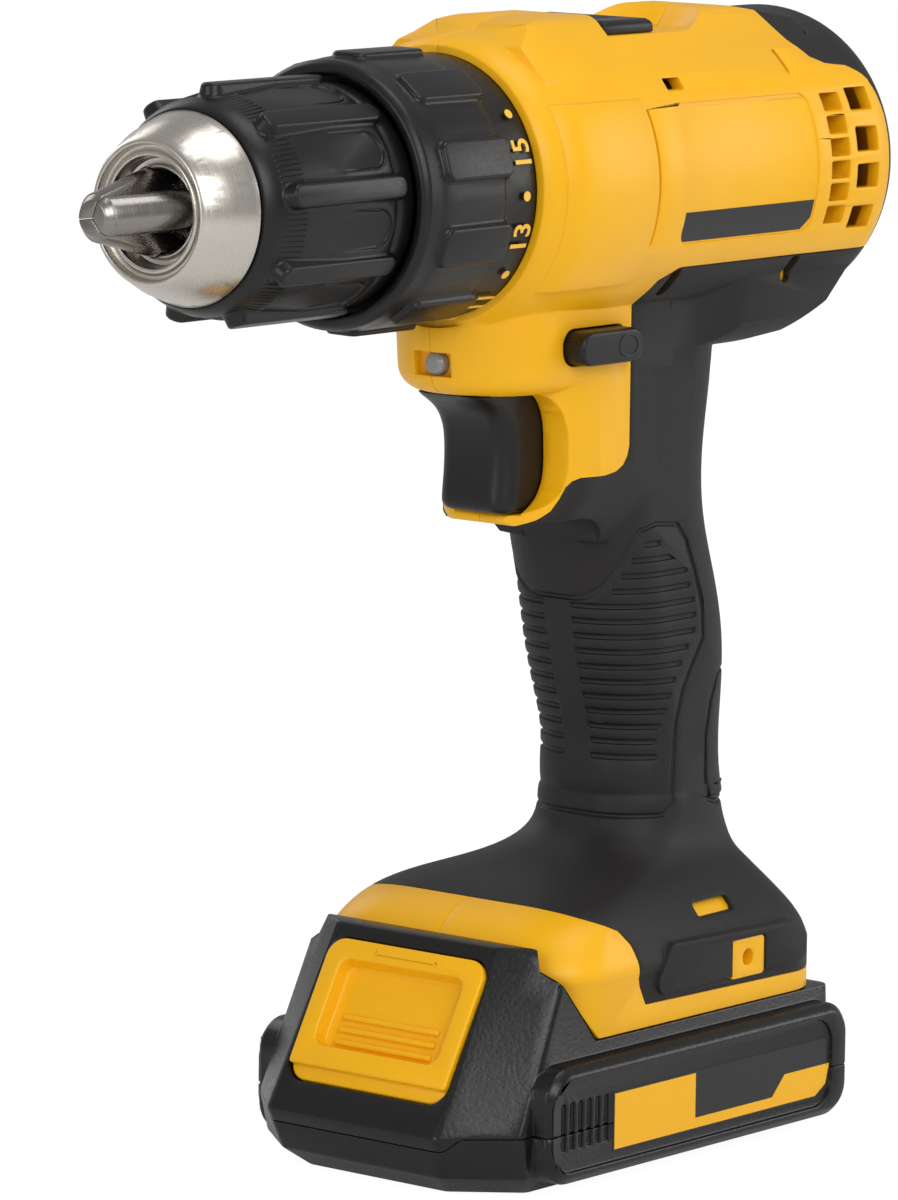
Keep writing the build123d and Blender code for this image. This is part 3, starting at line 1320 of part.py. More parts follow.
with BuildPart() as end_bell:
    turn(
        [
            (MOTOR_REAR_X, 12.0), (MOTOR_REAR_X, MOTOR_R), (MOTOR_REAR_X - 1.8, MOTOR_R),
            (MOTOR_REAR_X - 3.0, 16.0),
            (MOTOR_REAR_X - 3.0, 6.2), (MOTOR_REAR_X - 4.6, 6.2), (MOTOR_REAR_X - 4.6, BUSH_R),
            (MOTOR_REAR_X, BUSH_R), (MOTOR_REAR_X, 6.5), (MOTOR_REAR_X - 1.2, 6.5),
            (MOTOR_REAR_X - 1.2, 12.0),
        ]
    )
end_bell.part.label = "end_bell"
export_step(end_bell.part, "parts/end_bell.step")

with BuildPart() as brushes:
    for side in (1, -1):
        with BuildSketch(Plane.XY.offset(SPINDLE_Z - 2.5)) as brush:
            with Locations((-60.0, side * 8.2)):
                Rectangle(5.0, 6.8)
        extrude(brush.sketch, amount=5)
brushes.part.label = "brushes"
export_step(brushes.part, "parts/brushes.step")

with BuildPart() as bearings:
    ring(BEARING_X, BEARING_X + BEARING_L, SPINDLE_R + RUN, BEARING_R)
    ring(MOTOR_FRONT_X - 4.0, MOTOR_FRONT_X + 1.6, SHAFT_R + RUN, BUSH_R)
    ring(MOTOR_REAR_X - 4.6, MOTOR_REAR_X, SHAFT_R + RUN, BUSH_R)
bearings.part.label = "bearings"
export_step(bearings.part, "parts/bearings.step")

with BuildPart() as rotor_copper:
    rod(-64.0, -56.0, 4.6)
    rod(-65.0, -55.0, SHAFT_R, mode=Mode.SUBTRACT)
    with BuildSketch(across(-65)) as cuts:
        with PolarLocations(4.6, 5):
            Rectangle(1.2, 0.5)
    extrude(cuts.sketch, amount=10, mode=Mode.SUBTRACT)
    for x in (-54.0, -24.0):
        turn(
            [
                (x, SHAFT_R + 1.2), (x, 10.5), (x + 1.5, 12.0), (x + 2.5, 12.0), (x + 4.0, 10.5),
                (x + 4.0, SHAFT_R + 1.2),
            ]
        )
rotor_copper.part.label = "rotor_copper"
export_step(rotor_copper.part, "parts/rotor_copper.step")


# ----------------------------------------------------------------------------
# Pieces fixed to the body
# ----------------------------------------------------------------------------
with BuildPart() as housing_screws:
    for x, z in SCREWS:
        with BuildSketch(Plane.XZ.offset(SCREW_SEAT)) as head:
            with Locations((x, z)):
                Circle(SCREW_HEAD_R - 0.2)
        extrude(head.sketch, amount=SCREW_HEAD_H)
        with BuildSketch(Plane.XZ.offset(SCREW_SEAT)) as shank:
            with Locations((x, z)):
                Circle(SCREW_R - 0.05)
        extrude(shank.sketch, amount=-SCREW_SEAT - SCREW_DEPTH + 0.5)
        with BuildSketch(Plane.XZ.offset(SCREW_SEAT + SCREW_HEAD_H)) as socket:
            with Locations((x, z)):
                RegularPolygon(1.4, 6)
        extrude(socket.sketch, amount=-1.4, mode=Mode.SUBTRACT)
housing_screws.part.label = "housing_screws"
export_step(housing_screws.part, "parts/housing_screws.step")

with BuildPart() as foot_inserts:
    for side in (1, -1):
        with BuildSketch(Plane.XZ.offset(-side * (FOOT_HALF + INSERT_PROUD))) as block:
            with Locations((INSERT_X, INSERT_Z)):
                RectangleRounded(INSERT_W, INSERT_H, 1.0)
        extrude(block.sketch, amount=side * INSERT_DEPTH)
        with BuildSketch(Plane.XZ.offset(-side * (FOOT_HALF + INSERT_PROUD))) as tapping:
            with Locations((INSERT_X, INSERT_Z)):
                Circle(HOOK_SCREW_R)
        extrude(tapping.sketch, amount=side * INSERT_DEPTH, mode=Mode.SUBTRACT)
foot_inserts.part.label = "foot_inserts"
export_step(foot_inserts.part, "parts/foot_inserts.step")

with BuildPart() as led_lens:
    with BuildSketch(Plane.YZ.offset(22.8)) as flange:
        with Locations((0, LED_Z)):
            Circle(LED_R + 1.4)
    extrude(flange.sketch, amount=1.2)
    with BuildSketch(Plane.YZ.offset(24.0)) as lens:
        with Locations((0, LED_Z)):
            Circle(LED_R - 0.05)
    extrude(lens.sketch, amount=LED_RECESS_X + 0.4 - 24.0)
    fillet(led_lens.edges().sort_by(Axis.X)[-1], 1.2)
led_lens.part.label = "led_lens"
export_step(led_lens.part, "parts/led_lens.step")

with BuildPart() as switch_module:
    box_between((SWITCH_REAR_X, -SWITCH_HALF, SWITCH_LOW_Z), (SWITCH_FRONT_X, SWITCH_HALF, SWITCH_TOP_Z))
    box_between(
        (SWITCH_REAR_X + 3, -SWITCH_HALF + 2, SWITCH_LOW_Z - 5),
        (SWITCH_REAR_X + 14, SWITCH_HALF - 2, SWITCH_LOW_Z),
    )
    with BuildSketch(Plane.YZ.offset(SWITCH_FRONT_X)) as pocket:
        with Locations((0, PLUNGER_Z)):
            Circle(SPRING_POCKET_R)
    extrude(pocket.sketch, amount=-SPRING_POCKET_L, mode=Mode.SUBTRACT)
switch_module.part.label = "switch_module"
export_step(switch_module.part, "parts/switch_module.step")

with BuildPart() as terminal_block:
    box_between((-34.3, -19.7, BAY_TOP_Z), (-20.0, 19.7, BAY_TOP_Z + 3.8))
    for y in BLADE_PLACES:
        box_between((-34.2, y - BLADE_T / 2, BLADE_LOW_Z), (-29.0, y + BLADE_T / 2, BAY_TOP_Z))
terminal_block.part.label = "terminal_block"
export_step(terminal_block.part, "parts/terminal_block.step")

with BuildPart() as wires:
    for y in (-4.0, 4.0):
        with BuildLine() as run:
            Spline(
                (-28.0, y, BAY_TOP_Z + 3.8), (-25.0, y * 0.9, 62.0), (-20.0, y * 0.8, 92.0),
                (-19.0, y, SWITCH_LOW_Z - 5),
                tangents=((0, 0, 1), (0, 0, 1)),
            )
        with BuildSketch(Plane(origin=run.line @ 0, z_dir=run.line % 0)) as section:
            Circle(WIRE_R)
        sweep(section.sketch, path=run.line)
wires.part.label = "wires"
export_step(wires.part, "parts/wires.step")

# ----------------------------------------------------------------------------
# Trigger and buttons
# ----------------------------------------------------------------------------
with BuildPart() as trigger:
    sections = []
    for z, front in TRIGGER_FRONTS:
        with BuildSketch(Plane.XY.offset(z)) as section:
            with Locations(((TRIGGER_REAR_X + front) / 2, 0)):
                Rectangle(front - TRIGGER_REAR_X, 2 * TRIGGER_HALF)
            fillet(section.vertices().group_by(Axis.X)[-1], TRIGGER_CORNER_R)
        sections.append(section.sketch)
    loft(sections)
    sole = trigger.edges().group_by(Axis.Z)[0]
    fillet(sole.filter_by(lambda edge: edge.center().X > TRIGGER_REAR_X + 1), TRIGGER_EDGE_R)
    with BuildSketch(Plane.YZ.offset(TRIGGER_REAR_X)) as plunger:
        with Locations((0, PLUNGER_Z)):
            Circle(PLUNGER_R)
    extrude(plunger.sketch, amount=-PLUNGER_L)
trigger.part.label = "trigger"
export_step(trigger.part, "parts/trigger.step")

with BuildPart() as trigger_spring:
    coil_length = TRIGGER_REAR_X - SWITCH_FRONT_X + SPRING_POCKET_L - 2 * TRIGGER_WIRE_R
    with BuildLine() as coil:
        Helix(
            pitch=coil_length / 9, height=coil_length, radius=TRIGGER_SPRING_R,
            center=(SWITCH_FRONT_X - SPRING_POCKET_L + TRIGGER_WIRE_R, 0, PLUNGER_Z), direction=(1, 0, 0),
        )
    with BuildSketch(Plane(origin=coil.line @ 0, z_dir=coil.line % 0)) as wire:
        Circle(TRIGGER_WIRE_R)
    sweep(wire.sketch, path=coil.line)
trigger_spring.part.label = "trigger_spring"
export_step(trigger_spring.part, "parts/trigger_spring.step")

with BuildPart() as direction_button:
    with BuildSketch(Plane.XZ) as button:
        with Locations((REVERSE_X, REVERSE_Z)):
            RectangleRounded(REVERSE_L, REVERSE_H, REVERSE_H / 2 - 0.1)
    extrude(button.sketch, amount=NOSE_HALF + REVERSE_PROUD, both=True)
    fillet(direction_button.edges().group_by(Axis.Y)[0] + direction_button.edges().group_by(Axis.Y)[-1], 0.8)
    box_between((REVERSE_X - 12, -8, REVERSE_Z + 1.4), (REVERSE_X + 12, 8, REVERSE_Z + 6), mode=Mode.SUBTRACT)
direction_button.part.label = "direction_button"
export_step(direction_button.part, "parts/direction_button.step")

floor_z = SPINDLE_Z + SADDLE_H
with BuildPart() as speed_selector:
    box_between(
        (SELECTOR_REAR_X, -SELECTOR_HALF_W, floor_z + 0.1),
        (SELECTOR_FRONT_X, SELECTOR_HALF_W, floor_z + SELECTOR_H),
    )
    top_edges = speed_selector.edges().group_by(Axis.Z)[-1]
    fillet(top_edges, 1.6)
    for k in range(4):
        x = SELECTOR_REAR_X + 4.2 + k * 2.3
        box_between(
            (x - 0.5, -7, floor_z + SELECTOR_H - 0.6), (x + 0.5, 7, floor_z + SELECTOR_H + 1),
            mode=Mode.SUBTRACT,
        )
speed_selector.part.label = "speed_selector"
export_step(speed_selector.part, "parts/speed_selector.step")

lever_low = SPINDLE_Z + CASE_R + 2 * GAP
with BuildPart() as shift_fork:
    box_between((LEVER_REAR_X, -LEVER_HALF, lever_low), (LEVER_FRONT_X, LEVER_HALF, floor_z + 0.1))
    box_between(
        (LEVER_REAR_X, -LEVER_HALF, lever_low),
        (FORK_X + FORK_T, LEVER_HALF, SPINDLE_Z + SADDLE_H - WALL - GAP),
    )
    box_between(
        (FORK_X, -LEVER_HALF, SPINDLE_Z + FORK_R), (FORK_X + FORK_T, LEVER_HALF, SPINDLE_Z + CASE_R + 1)
    )
    turn(
        [
            (FORK_X, FORK_R), (FORK_X, RING_R - 0.25), (FORK_X + FORK_T, RING_R - 0.25),
            (FORK_X + FORK_T, FORK_R),
        ]
    )
    box_between(
        (FORK_X - 1, -30, SPINDLE_Z - 30), (FORK_X + FORK_T + 1, 30, SPINDLE_Z + 4),
        mode=Mode.SUBTRACT,
    )
shift_fork.part.label = "shift_fork"
export_step(shift_fork.part, "parts/shift_fork.step")

# ----------------------------------------------------------------------------
# Battery
# ----------------------------------------------------------------------------
def pack_plan(z, front, front_half, shoulder, half, rear, corner):
    with BuildSketch(Plane.XY.offset(z)) as section:
        with BuildLine():
            Polyline(
                (rear, -half), (rear, half), (shoulder, half), (front, front_half), (front, -front_half),
                (shoulder, -half), close=True,
            )
        make_face()
        fillet(section.vertices(), corner)
    return section.sketch


def slope_plane(along=0.0, out=0.0):
    """Plane on the battery's sloped front: first direction +Y, second up the slope."""
    lean = atan2(SLOPE_RUN, SLOPE_RISE)
    down = Vector(sin(lean), 0, -cos(lean))
    normal = Vector(cos(lean), 0, sin(lean))
    start = Vector(SLOPE_TOP_X, 0, SLOPE_TOP_Z) + down * along + normal * out
    return Plane(origin=start, x_dir=(0, 1, 0), z_dir=normal)


def side_pockets(outline_x, length, height, depth, corner):
    """Shallow pockets in both side faces of the battery's bump."""
    with BuildPart() as pockets:
        with BuildSketch(Plane.XZ) as shape:
            with Locations((outline_x, (PACK_BUMP_LOW_Z + PACK_BUMP_TOP_Z) / 2)):
                RectangleRounded(length, height, corner)
        extrude(shape.sketch, amount=PACK_BUMP_HALF + 5, both=True)
        box_between((-90, -PACK_BUMP_HALF + depth, -5), (90, PACK_BUMP_HALF - depth, 60), mode=Mode.SUBTRACT)
    return pockets.part


def bump_solid():
    """Cell housing that stands out at both sides of the battery."""
    with BuildPart() as bump:
        with BuildSketch(Plane.XZ) as shape:
            with Locations(((PACK_REAR_X + PACK_BUMP_FRONT_X) / 2, (PACK_BUMP_LOW_Z + PACK_BUMP_TOP_Z) / 2)):
                RectangleRounded(PACK_BUMP_FRONT_X - PACK_REAR_X, PACK_BUMP_TOP_Z - PACK_BUMP_LOW_Z, 6.5)
        extrude(shape.sketch, amount=PACK_BUMP_HALF, both=True)
        chamfer(bump.edges().group_by(Axis.Y)[0] + bump.edges().group_by(Axis.Y)[-1], 1.6)
    return bump.part


with BuildPart() as pack_outer:
    loft(
        [
            pack_plan(0.0, 54.0, 17.0, 44.5, 29.0, -44.8, 2.5),
            pack_plan(4.0, 59.6, 19.5, 49.4, 32.4, -47.0, 2.5),
            pack_plan(PACK_SEAM_Z, PACK_FRONT_X, 21.0, 51.0, PACK_HALF, PACK_REAR_X, 2.5),
        ],
        ruled=True,
    )
    loft(
        [
            pack_plan(PACK_SEAM_Z, PACK_FRONT_X, 21.0, 51.0, PACK_HALF, PACK_REAR_X, 2.5),
            pack_plan(
                BLOCK_TOP_Z, SLOPE_TOP_X - (BLOCK_TOP_Z - SLOPE_TOP_Z) * SLOPE_RUN / SLOPE_RISE, 20.0,
                35.0, 31.5, PACK_REAR_X, 2.5,
            ),
        ],
        ruled=True,
    )
    side_cut(
        [
            (-80, PACK_TOP_Z), (FOOT_CUT_LOW_X + GAP, PACK_TOP_Z), (FOOT_CUT_HIGH_X + GAP, FOOT_CUT_Z),
            (FOOT_CUT_HIGH_X - 1.3 + GAP, BLOCK_TOP_Z + 1), (-80, BLOCK_TOP_Z + 1),
        ],
        60,
        mode=Mode.SUBTRACT,
    )
    add(bump_solid())
    add(side_pockets(2.6, 88.0, PACK_BUMP_TOP_Z - PACK_BUMP_LOW_Z - 5.2, 0.8, 5.4), mode=Mode.SUBTRACT)
    for k in range(6):
        add(side_pockets(GRIP_FRONT_X - k * 2.6, 1.2, 9.0, 1.3, 0.5), mode=Mode.SUBTRACT)
    box_between((TOWER_REAR_X, -TOWER_HALF, PACK_TOP_Z - 1), (TOWER_FRONT_X, TOWER_HALF, TOWER_TOP_Z))
    for side in (1, -1):
        y = side * (BAY_HALF - RAIL_W - RAIL_GAP + 3)
        box_between(
            (TOWER_REAR_X - 1, y - 3, RAIL_Z - RAIL_GAP), (30.0, y + 3, RAIL_Z + RAIL_H + RAIL_GAP),
            mode=Mode.SUBTRACT,
        )
    for y in BLADE_PLACES:
        box_between(
            (TOWER_REAR_X - 1, y - 1.1, BLADE_LOW_Z - 1), (-27.5, y + 1.1, TOWER_TOP_Z + 1),
            mode=Mode.SUBTRACT,
        )
    box_between(
        (30, -LATCH_TONGUE - 0.5, TOWER_TOP_Z - 1.8), (50, LATCH_TONGUE + 0.5, BAY_TOP_Z),
        mode=Mode.SUBTRACT,
    )

with BuildPart() as pack_hollow:
    box_between(
        (PACK_REAR_X + PACK_WALL, -CELL_LENGTH / 2 - 0.2, CELL_LOW_Z - 0.1),
        (45.4, CELL_LENGTH / 2 + 0.2, CELL_LOW_Z + 2 * CELL_R + 0.3),
    )
    box_between((-44.0, -27.0, CELL_LOW_Z + 18), (43.0, 27.0, TRAY_TOP_Z))
    box_between((TOWER_REAR_X + PACK_WALL, -18.5, TRAY_TOP_Z - 1), (36.0, 18.5, TOWER_TOP_Z - PACK_WALL))

with BuildPart() as latch_pocket:
    with BuildSketch(slope_plane(LATCH_L / 2 - 0.4, 6)) as mouth:
        RectangleRounded(2 * LATCH_HALF + 0.8, LATCH_L + 0.8, 4.4)
    extrude(mouth.sketch, amount=-LATCH_POCKET - 6)

with BuildPart() as low_zone:
    box_between((-70, -60, -1), (80, 60, PACK_SEAM_Z))
    with BuildSketch(Plane.YZ.offset(50.0)) as dip:
        with BuildLine():
            Polyline(
                (-24.5, PACK_SEAM_Z + 1), (-24.5, PACK_SEAM_Z), (-21.5, PACK_SEAM_Z - SEAM_DIP),
                (21.5, PACK_SEAM_Z - SEAM_DIP), (24.5, PACK_SEAM_Z), (24.5, PACK_SEAM_Z + 1), close=True,
            )
        make_face()
    extrude(dip.sketch, amount=30, mode=Mode.SUBTRACT)

with BuildPart() as battery_bottom:
    add(pack_outer.part)
    add(pack_hollow.part, mode=Mode.SUBTRACT)
    add(latch_pocket.part, mode=Mode.SUBTRACT)
    add(low_zone.part, mode=Mode.INTERSECT)
battery_bottom.part.label = "battery_bottom"
export_step(battery_bottom.part, "parts/battery_bottom.step")

with BuildPart() as battery_top:
    add(pack_outer.part)
    add(pack_hollow.part, mode=Mode.SUBTRACT)
    add(latch_pocket.part, mode=Mode.SUBTRACT)
    add(low_zone.part, mode=Mode.SUBTRACT)
battery_top.part.label = "battery_top"
export_step(battery_top.part, "parts/battery_top.step")

with BuildPart() as latch_button:
    with BuildSketch(slope_plane(LATCH_L / 2 - 0.4, LATCH_PROUD)) as face:
        RectangleRounded(2 * LATCH_HALF, LATCH_L, 4.0)
    extrude(face.sketch, amount=-LATCH_THICK)
    with BuildSketch(slope_plane(LATCH_L / 2 - 2.0, LATCH_PROUD)) as scoop:
        RectangleRounded(2 * LATCH_HALF - 8, LATCH_L - 11, 2.5)
    extrude(scoop.sketch, amount=-3.0, taper=14, mode=Mode.SUBTRACT)
    for k in range(3):
        with BuildSketch(slope_plane(14.5 + k * 2.6, LATCH_PROUD - 3.0)) as rib:
            RectangleRounded(24.0, 1.2, 0.5)
        extrude(rib.sketch, amount=1.0)
    with BuildSketch(slope_plane(LATCH_L - 1.6, LATCH_PROUD)) as step:
        Rectangle(60, 3.2)
    extrude(step.sketch, amount=-1.4, mode=Mode.SUBTRACT)
    box_between((LATCH_TONGUE_X, -LATCH_TONGUE, TOWER_TOP_Z), (46.6, LATCH_TONGUE, BAY_TOP_Z - GAP))
latch_button.part.label = "latch_button"
export_step(latch_button.part, "parts/latch_button.step")

first_cell_x = PACK_REAR_X + PACK_WALL + 0.1 + CELL_R
cell_places = [(first_cell_x + k * CELL_PITCH, CELL_LOW_Z + CELL_R) for k in range(CELLS)]
with BuildPart() as cells:
    for place in cell_places:
        with BuildSketch(Plane.XZ) as end:
            with Locations(place):
                Circle(CELL_R)
        extrude(end.sketch, amount=CELL_LENGTH / 2, both=True)
cells.part.label = "cells"
export_step(cells.part, "parts/cells.step")

with BuildPart() as cell_tray:
    box_between((-43.8, -26.8, CELL_LOW_Z + 14.0), (42.8, 26.8, TRAY_TOP_Z - 0.1))
    for place in cell_places:
        with BuildSketch(Plane.XZ) as trough:
            with Locations(place):
                Circle(CELL_R + 0.05)
        extrude(trough.sketch, amount=40, both=True, mode=Mode.SUBTRACT)
cell_tray.part.label = "cell_tray"
export_step(cell_tray.part, "parts/cell_tray.step")

with BuildPart() as battery_board:
    box_between((-38.5, -18.0, TRAY_TOP_Z), (34.0, 18.0, TRAY_TOP_Z + 1.6))
battery_board.part.label = "battery_board"
export_step(battery_board.part, "parts/battery_board.step")

with BuildPart() as battery_contacts:
    for y in BLADE_PLACES:
        for side in (1, -1):
            low_y = y + side * 1.15
            high_y = y + side * 1.65
            box_between(
                (-37.0, min(low_y, high_y), TRAY_TOP_Z + 1.6),
                (-28.5, max(low_y, high_y), TOWER_TOP_Z - PACK_WALL),
            )
battery_contacts.part.label = "battery_contacts"
export_step(battery_contacts.part, "parts/battery_contacts.step")
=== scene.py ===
import json
from math import cos, pi, radians, sin

import bpy
from mathutils import Matrix, Vector
from mathutils.bvhtree import BVHTree

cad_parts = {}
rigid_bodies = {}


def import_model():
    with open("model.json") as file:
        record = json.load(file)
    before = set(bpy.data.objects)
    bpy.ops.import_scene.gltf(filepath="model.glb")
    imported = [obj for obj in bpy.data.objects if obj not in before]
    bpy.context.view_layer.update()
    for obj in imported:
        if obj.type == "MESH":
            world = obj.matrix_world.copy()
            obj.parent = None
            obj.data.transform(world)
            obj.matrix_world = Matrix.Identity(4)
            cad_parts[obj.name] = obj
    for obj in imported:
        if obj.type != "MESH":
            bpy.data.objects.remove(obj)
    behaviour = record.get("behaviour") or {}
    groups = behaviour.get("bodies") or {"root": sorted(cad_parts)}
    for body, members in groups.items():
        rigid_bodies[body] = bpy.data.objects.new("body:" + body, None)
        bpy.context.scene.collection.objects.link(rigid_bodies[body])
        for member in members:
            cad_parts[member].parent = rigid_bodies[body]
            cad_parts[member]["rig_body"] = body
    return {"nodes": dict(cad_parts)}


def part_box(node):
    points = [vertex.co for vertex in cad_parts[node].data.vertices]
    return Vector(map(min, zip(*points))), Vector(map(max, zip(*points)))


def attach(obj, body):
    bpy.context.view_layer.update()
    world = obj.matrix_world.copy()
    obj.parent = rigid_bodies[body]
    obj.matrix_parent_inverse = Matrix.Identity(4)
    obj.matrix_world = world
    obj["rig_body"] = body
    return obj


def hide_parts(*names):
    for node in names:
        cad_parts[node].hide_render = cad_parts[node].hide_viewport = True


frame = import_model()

bl_info = {
    "name": "Cordless drill driver finish",
    "version": (1, 0, 0),
    "blender": (4, 5, 0),
    "location": "3D View > Sidebar > Drill",
    "description": "Dresses the cordless drill's frame with eased edges, markings and finishes",
    "category": "Object",
}

MM = 0.001
MOULDED_GLOSS = 0.35  # mould texture scatters part of the reflection
MERGE_GAP = 0.002 * MM
FLAT_ANGLE = radians(0.4)
EASED_ANGLE = radians(32)
SMOOTH_ANGLE = radians(38)
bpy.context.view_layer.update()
NODES = frame["nodes"]

# Places read from the frame
SPINDLE_Z = sum(corner.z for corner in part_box("output_spindle")) / 2
COLLAR_REAR_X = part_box("clutch_collar")[0].x
COLLAR_R = (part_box("clutch_collar")[1].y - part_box("clutch_collar")[0].y) / 2
SLEEVE_FRONT_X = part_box("chuck_sleeve")[1].x
FOOT_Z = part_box("battery_bottom")[0].z


# ----------------------------------------------------------------------------
# Small helpers
# ----------------------------------------------------------------------------
def linear(code):
    """Linear colour of an sRGB hex value."""
    levels = [int(code[k:k + 2], 16) / 255 for k in (1, 3, 5)]
    return [v / 12.92 if v <= 0.04045 else ((v + 0.055) / 1.055) ** 2.4 for v in levels] + [1.0]


def add_node(tree, kind, links=None, **settings):
    """Add a node: settings are its properties, or the values of its input sockets."""
    node = tree.nodes.new(kind)
    for key, value in settings.items():
        if hasattr(node, key):
            setattr(node, key, value)
        else:
            socket = int(key[1:]) if key[0] == "_" else key.replace("_", " ")
            node.inputs[socket].default_value = value
    for socket, source in (links or {}).items():
        tree.links.new(source, node.inputs[socket])
    return node


def only(piece):
    """Select one piece alone and make it the active one."""
    bpy.ops.object.select_all(action="DESELECT")
    piece.select_set(True)
    bpy.context.view_layer.objects.active = piece


def edit_all(piece):
    """Open a piece in edit mode with everything selected."""
    only(piece)
    bpy.ops.object.mode_set(mode="EDIT")
    bpy.ops.mesh.select_all(action="SELECT")


def close_edit():
    bpy.ops.object.mode_set(mode="OBJECT")


def paint(piece, material):
    """Give a piece one material in every slot."""
    if not piece.material_slots:
        piece.data.materials.append(material)
    for slot in piece.material_slots:
        slot.material = material


def ease(piece, width, segments=2):
    """Round a piece's sharp edges with an applied bevel and shade it smooth between them.

    A point that the bevel throws clear of the sharp form is put back on it.
    """
    only(piece)
    if width:
        points = [vertex.co.copy() for vertex in piece.data.vertices]
        faces = [tuple(face.vertices) for face in piece.data.polygons]
        form = BVHTree.FromPolygons(points, faces)
        bevel = piece.modifiers.new("Eased edges", "BEVEL")
        bevel.width = width
        bevel.segments = segments
        bevel.limit_method = "ANGLE"
        bevel.angle_limit = EASED_ANGLE
        bevel.use_clamp_overlap = False
        bpy.ops.object.modifier_apply(modifier=bevel.name)
        for vertex in piece.data.vertices:
            place, _, _, away = form.find_nearest(vertex.co)
            if away > width / 2:
                vertex.co = place
        unfold(piece, form, points, faces, 2 * width)
    bpy.ops.object.shade_smooth_by_angle(angle=SMOOTH_ANGLE)


def unfold(piece, form, points, faces, reach):
    """Swap each face that the bevel has folded over an opening for the sharp face it came from."""
    mesh = piece.data
    mesh.calc_loop_triangles()
    folded, gone, sharp = set(), set(), set()
    for triangle in mesh.loop_triangles:
        a, b, c = (mesh.vertices[k].co for k in triangle.vertices)
        spots = ((a + b + c) / 3, (3 * a + b + c) / 5, (a + 3 * b + c) / 5, (a + b + 3 * c) / 5)
        if any(form.find_nearest(spot)[3] > reach for spot in spots):
            folded.add(triangle.polygon_index)
    for index in folded:
        face = mesh.polygons[index]
        for k in face.vertices:
            _, normal, near, _ = form.find_nearest(mesh.vertices[k].co)
            if abs(normal.dot(face.normal)) > 0.999:
                sharp.add(near)
                gone.add(index)
    if not gone:
        return
    edit_all(piece)
    bpy.ops.mesh.select_all(action="DESELECT")
    bpy.ops.mesh.select_mode(type="FACE")
    close_edit()
    for index in gone:
        mesh.polygons[index].select = True
    bpy.ops.object.mode_set(mode="EDIT")
    bpy.ops.mesh.delete(type="ONLY_FACE")
    close_edit()
    patch = bpy.data.meshes.new("sharp faces")
    patch.from_pydata(points, [], [faces[k] for k in sorted(sharp)])
    spare = bpy.data.objects.new("sharp faces", patch)
    bpy.context.scene.collection.objects.link(spare)
    edit_all(spare)
    bpy.ops.mesh.delete_loose()
    close_edit()
    only(piece)
    spare.select_set(True)
    bpy.ops.object.join()


def dressed(node, name, width, material, segments=2):
    """Merged copy of a CAD node with eased edges, which stands for that node."""
    source = NODES[node]
    piece = bpy.data.objects.new(name, source.data.copy())
    bpy.context.scene.collection.objects.link(piece)
    only(piece)
    if piece.data.has_custom_normals:
        bpy.ops.mesh.customdata_custom_splitnormals_clear()
    edit_all(piece)
    bpy.ops.mesh.remove_doubles(threshold=MERGE_GAP)
    bpy.ops.mesh.dissolve_limited(angle_limit=FLAT_ANGLE)
    close_edit()
    ease(piece, width, segments)
    paint(piece, material)
    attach(piece, source["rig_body"])
    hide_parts(node)
    return piece


def round_spindle(x, radius, angle):
    """Point at x, at a radius from the spindle and an angle up from the left side."""
    return Vector((x, radius * cos(angle), SPINDLE_Z + radius * sin(angle)))


def flat_outline(name, points, thickness):
    """Thin plate with the outline of the points, in the plane of its first two directions."""
    bpy.ops.object.select_all(action="DESELECT")
    bpy.ops.mesh.primitive_circle_add(vertices=len(points), radius=MM, fill_type="NGON")
    piece = bpy.context.object
    piece.name = name
    for vertex, (x, y) in zip(piece.data.vertices, points):
        vertex.co = (x, y, 0)
    edit_all(piece)
    bpy.ops.mesh.extrude_region_move(TRANSFORM_OT_translate={"value": (0, 0, thickness)})
    bpy.ops.mesh.select_all(action="SELECT")
    bpy.ops.mesh.normals_make_consistent(inside=False)
    close_edit()
    return piece


def reshape(piece, place):
    """Move each point of a piece's mesh to place(point)."""
    for vertex in piece.data.vertices:
        vertex.co = place(vertex.co.copy())
    piece.data.update()


# ----------------------------------------------------------------------------
# Finishes
# ----------------------------------------------------------------------------
def grain(tree, coordinates, size_mm, detail=3.0):
    """Fine even noise whose grains are about size_mm across."""
    return add_node(
        tree, "ShaderNodeTexNoise", {"Vector": coordinates},
        Scale=1.0 / (size_mm * MM), Detail=detail, Roughness=0.55,
    )


def moulded(name, code, roughness, grain_mm, depth_mm, tone=0.06):
    """Moulded plastic or rubber: an even colour, a soft cloudy tone and a fine mould texture."""
    material = bpy.data.materials.new(name)
    material.use_nodes = True
    tree = material.node_tree
    shader = tree.nodes["Principled BSDF"]
    where = add_node(tree, "ShaderNodeTexCoord").outputs["Object"]
    cloud = grain(tree, where, 14.0, 2.0)
    light = linear(code)
    dark = [v * (1 - tone) for v in light[:3]] + [1.0]
    pale = [min(1.0, v * (1 + tone)) for v in light[:3]] + [1.0]
    tint = add_node(
        tree, "ShaderNodeMix", {"Factor": cloud.outputs["Fac"]}, data_type="RGBA", _6=dark, _7=pale
    )
    tree.links.new(tint.outputs[2], shader.inputs["Base Color"])
    fine = grain(tree, where, grain_mm)
    spread = add_node(
        tree, "ShaderNodeMapRange", {"Value": fine.outputs["Fac"]},
        _1=0.25, _2=0.75, _3=roughness - 0.06, _4=roughness + 0.06,
    )
    tree.links.new(spread.outputs["Result"], shader.inputs["Roughness"])
    bump = add_node(
        tree, "ShaderNodeBump", {"Height": fine.outputs["Fac"]}, Strength=0.6, Distance=depth_mm * MM
    )
    tree.links.new(bump.outputs["Normal"], shader.inputs["Normal"])
    shader.inputs["Specular IOR Level"].default_value = MOULDED_GLOSS
    return material


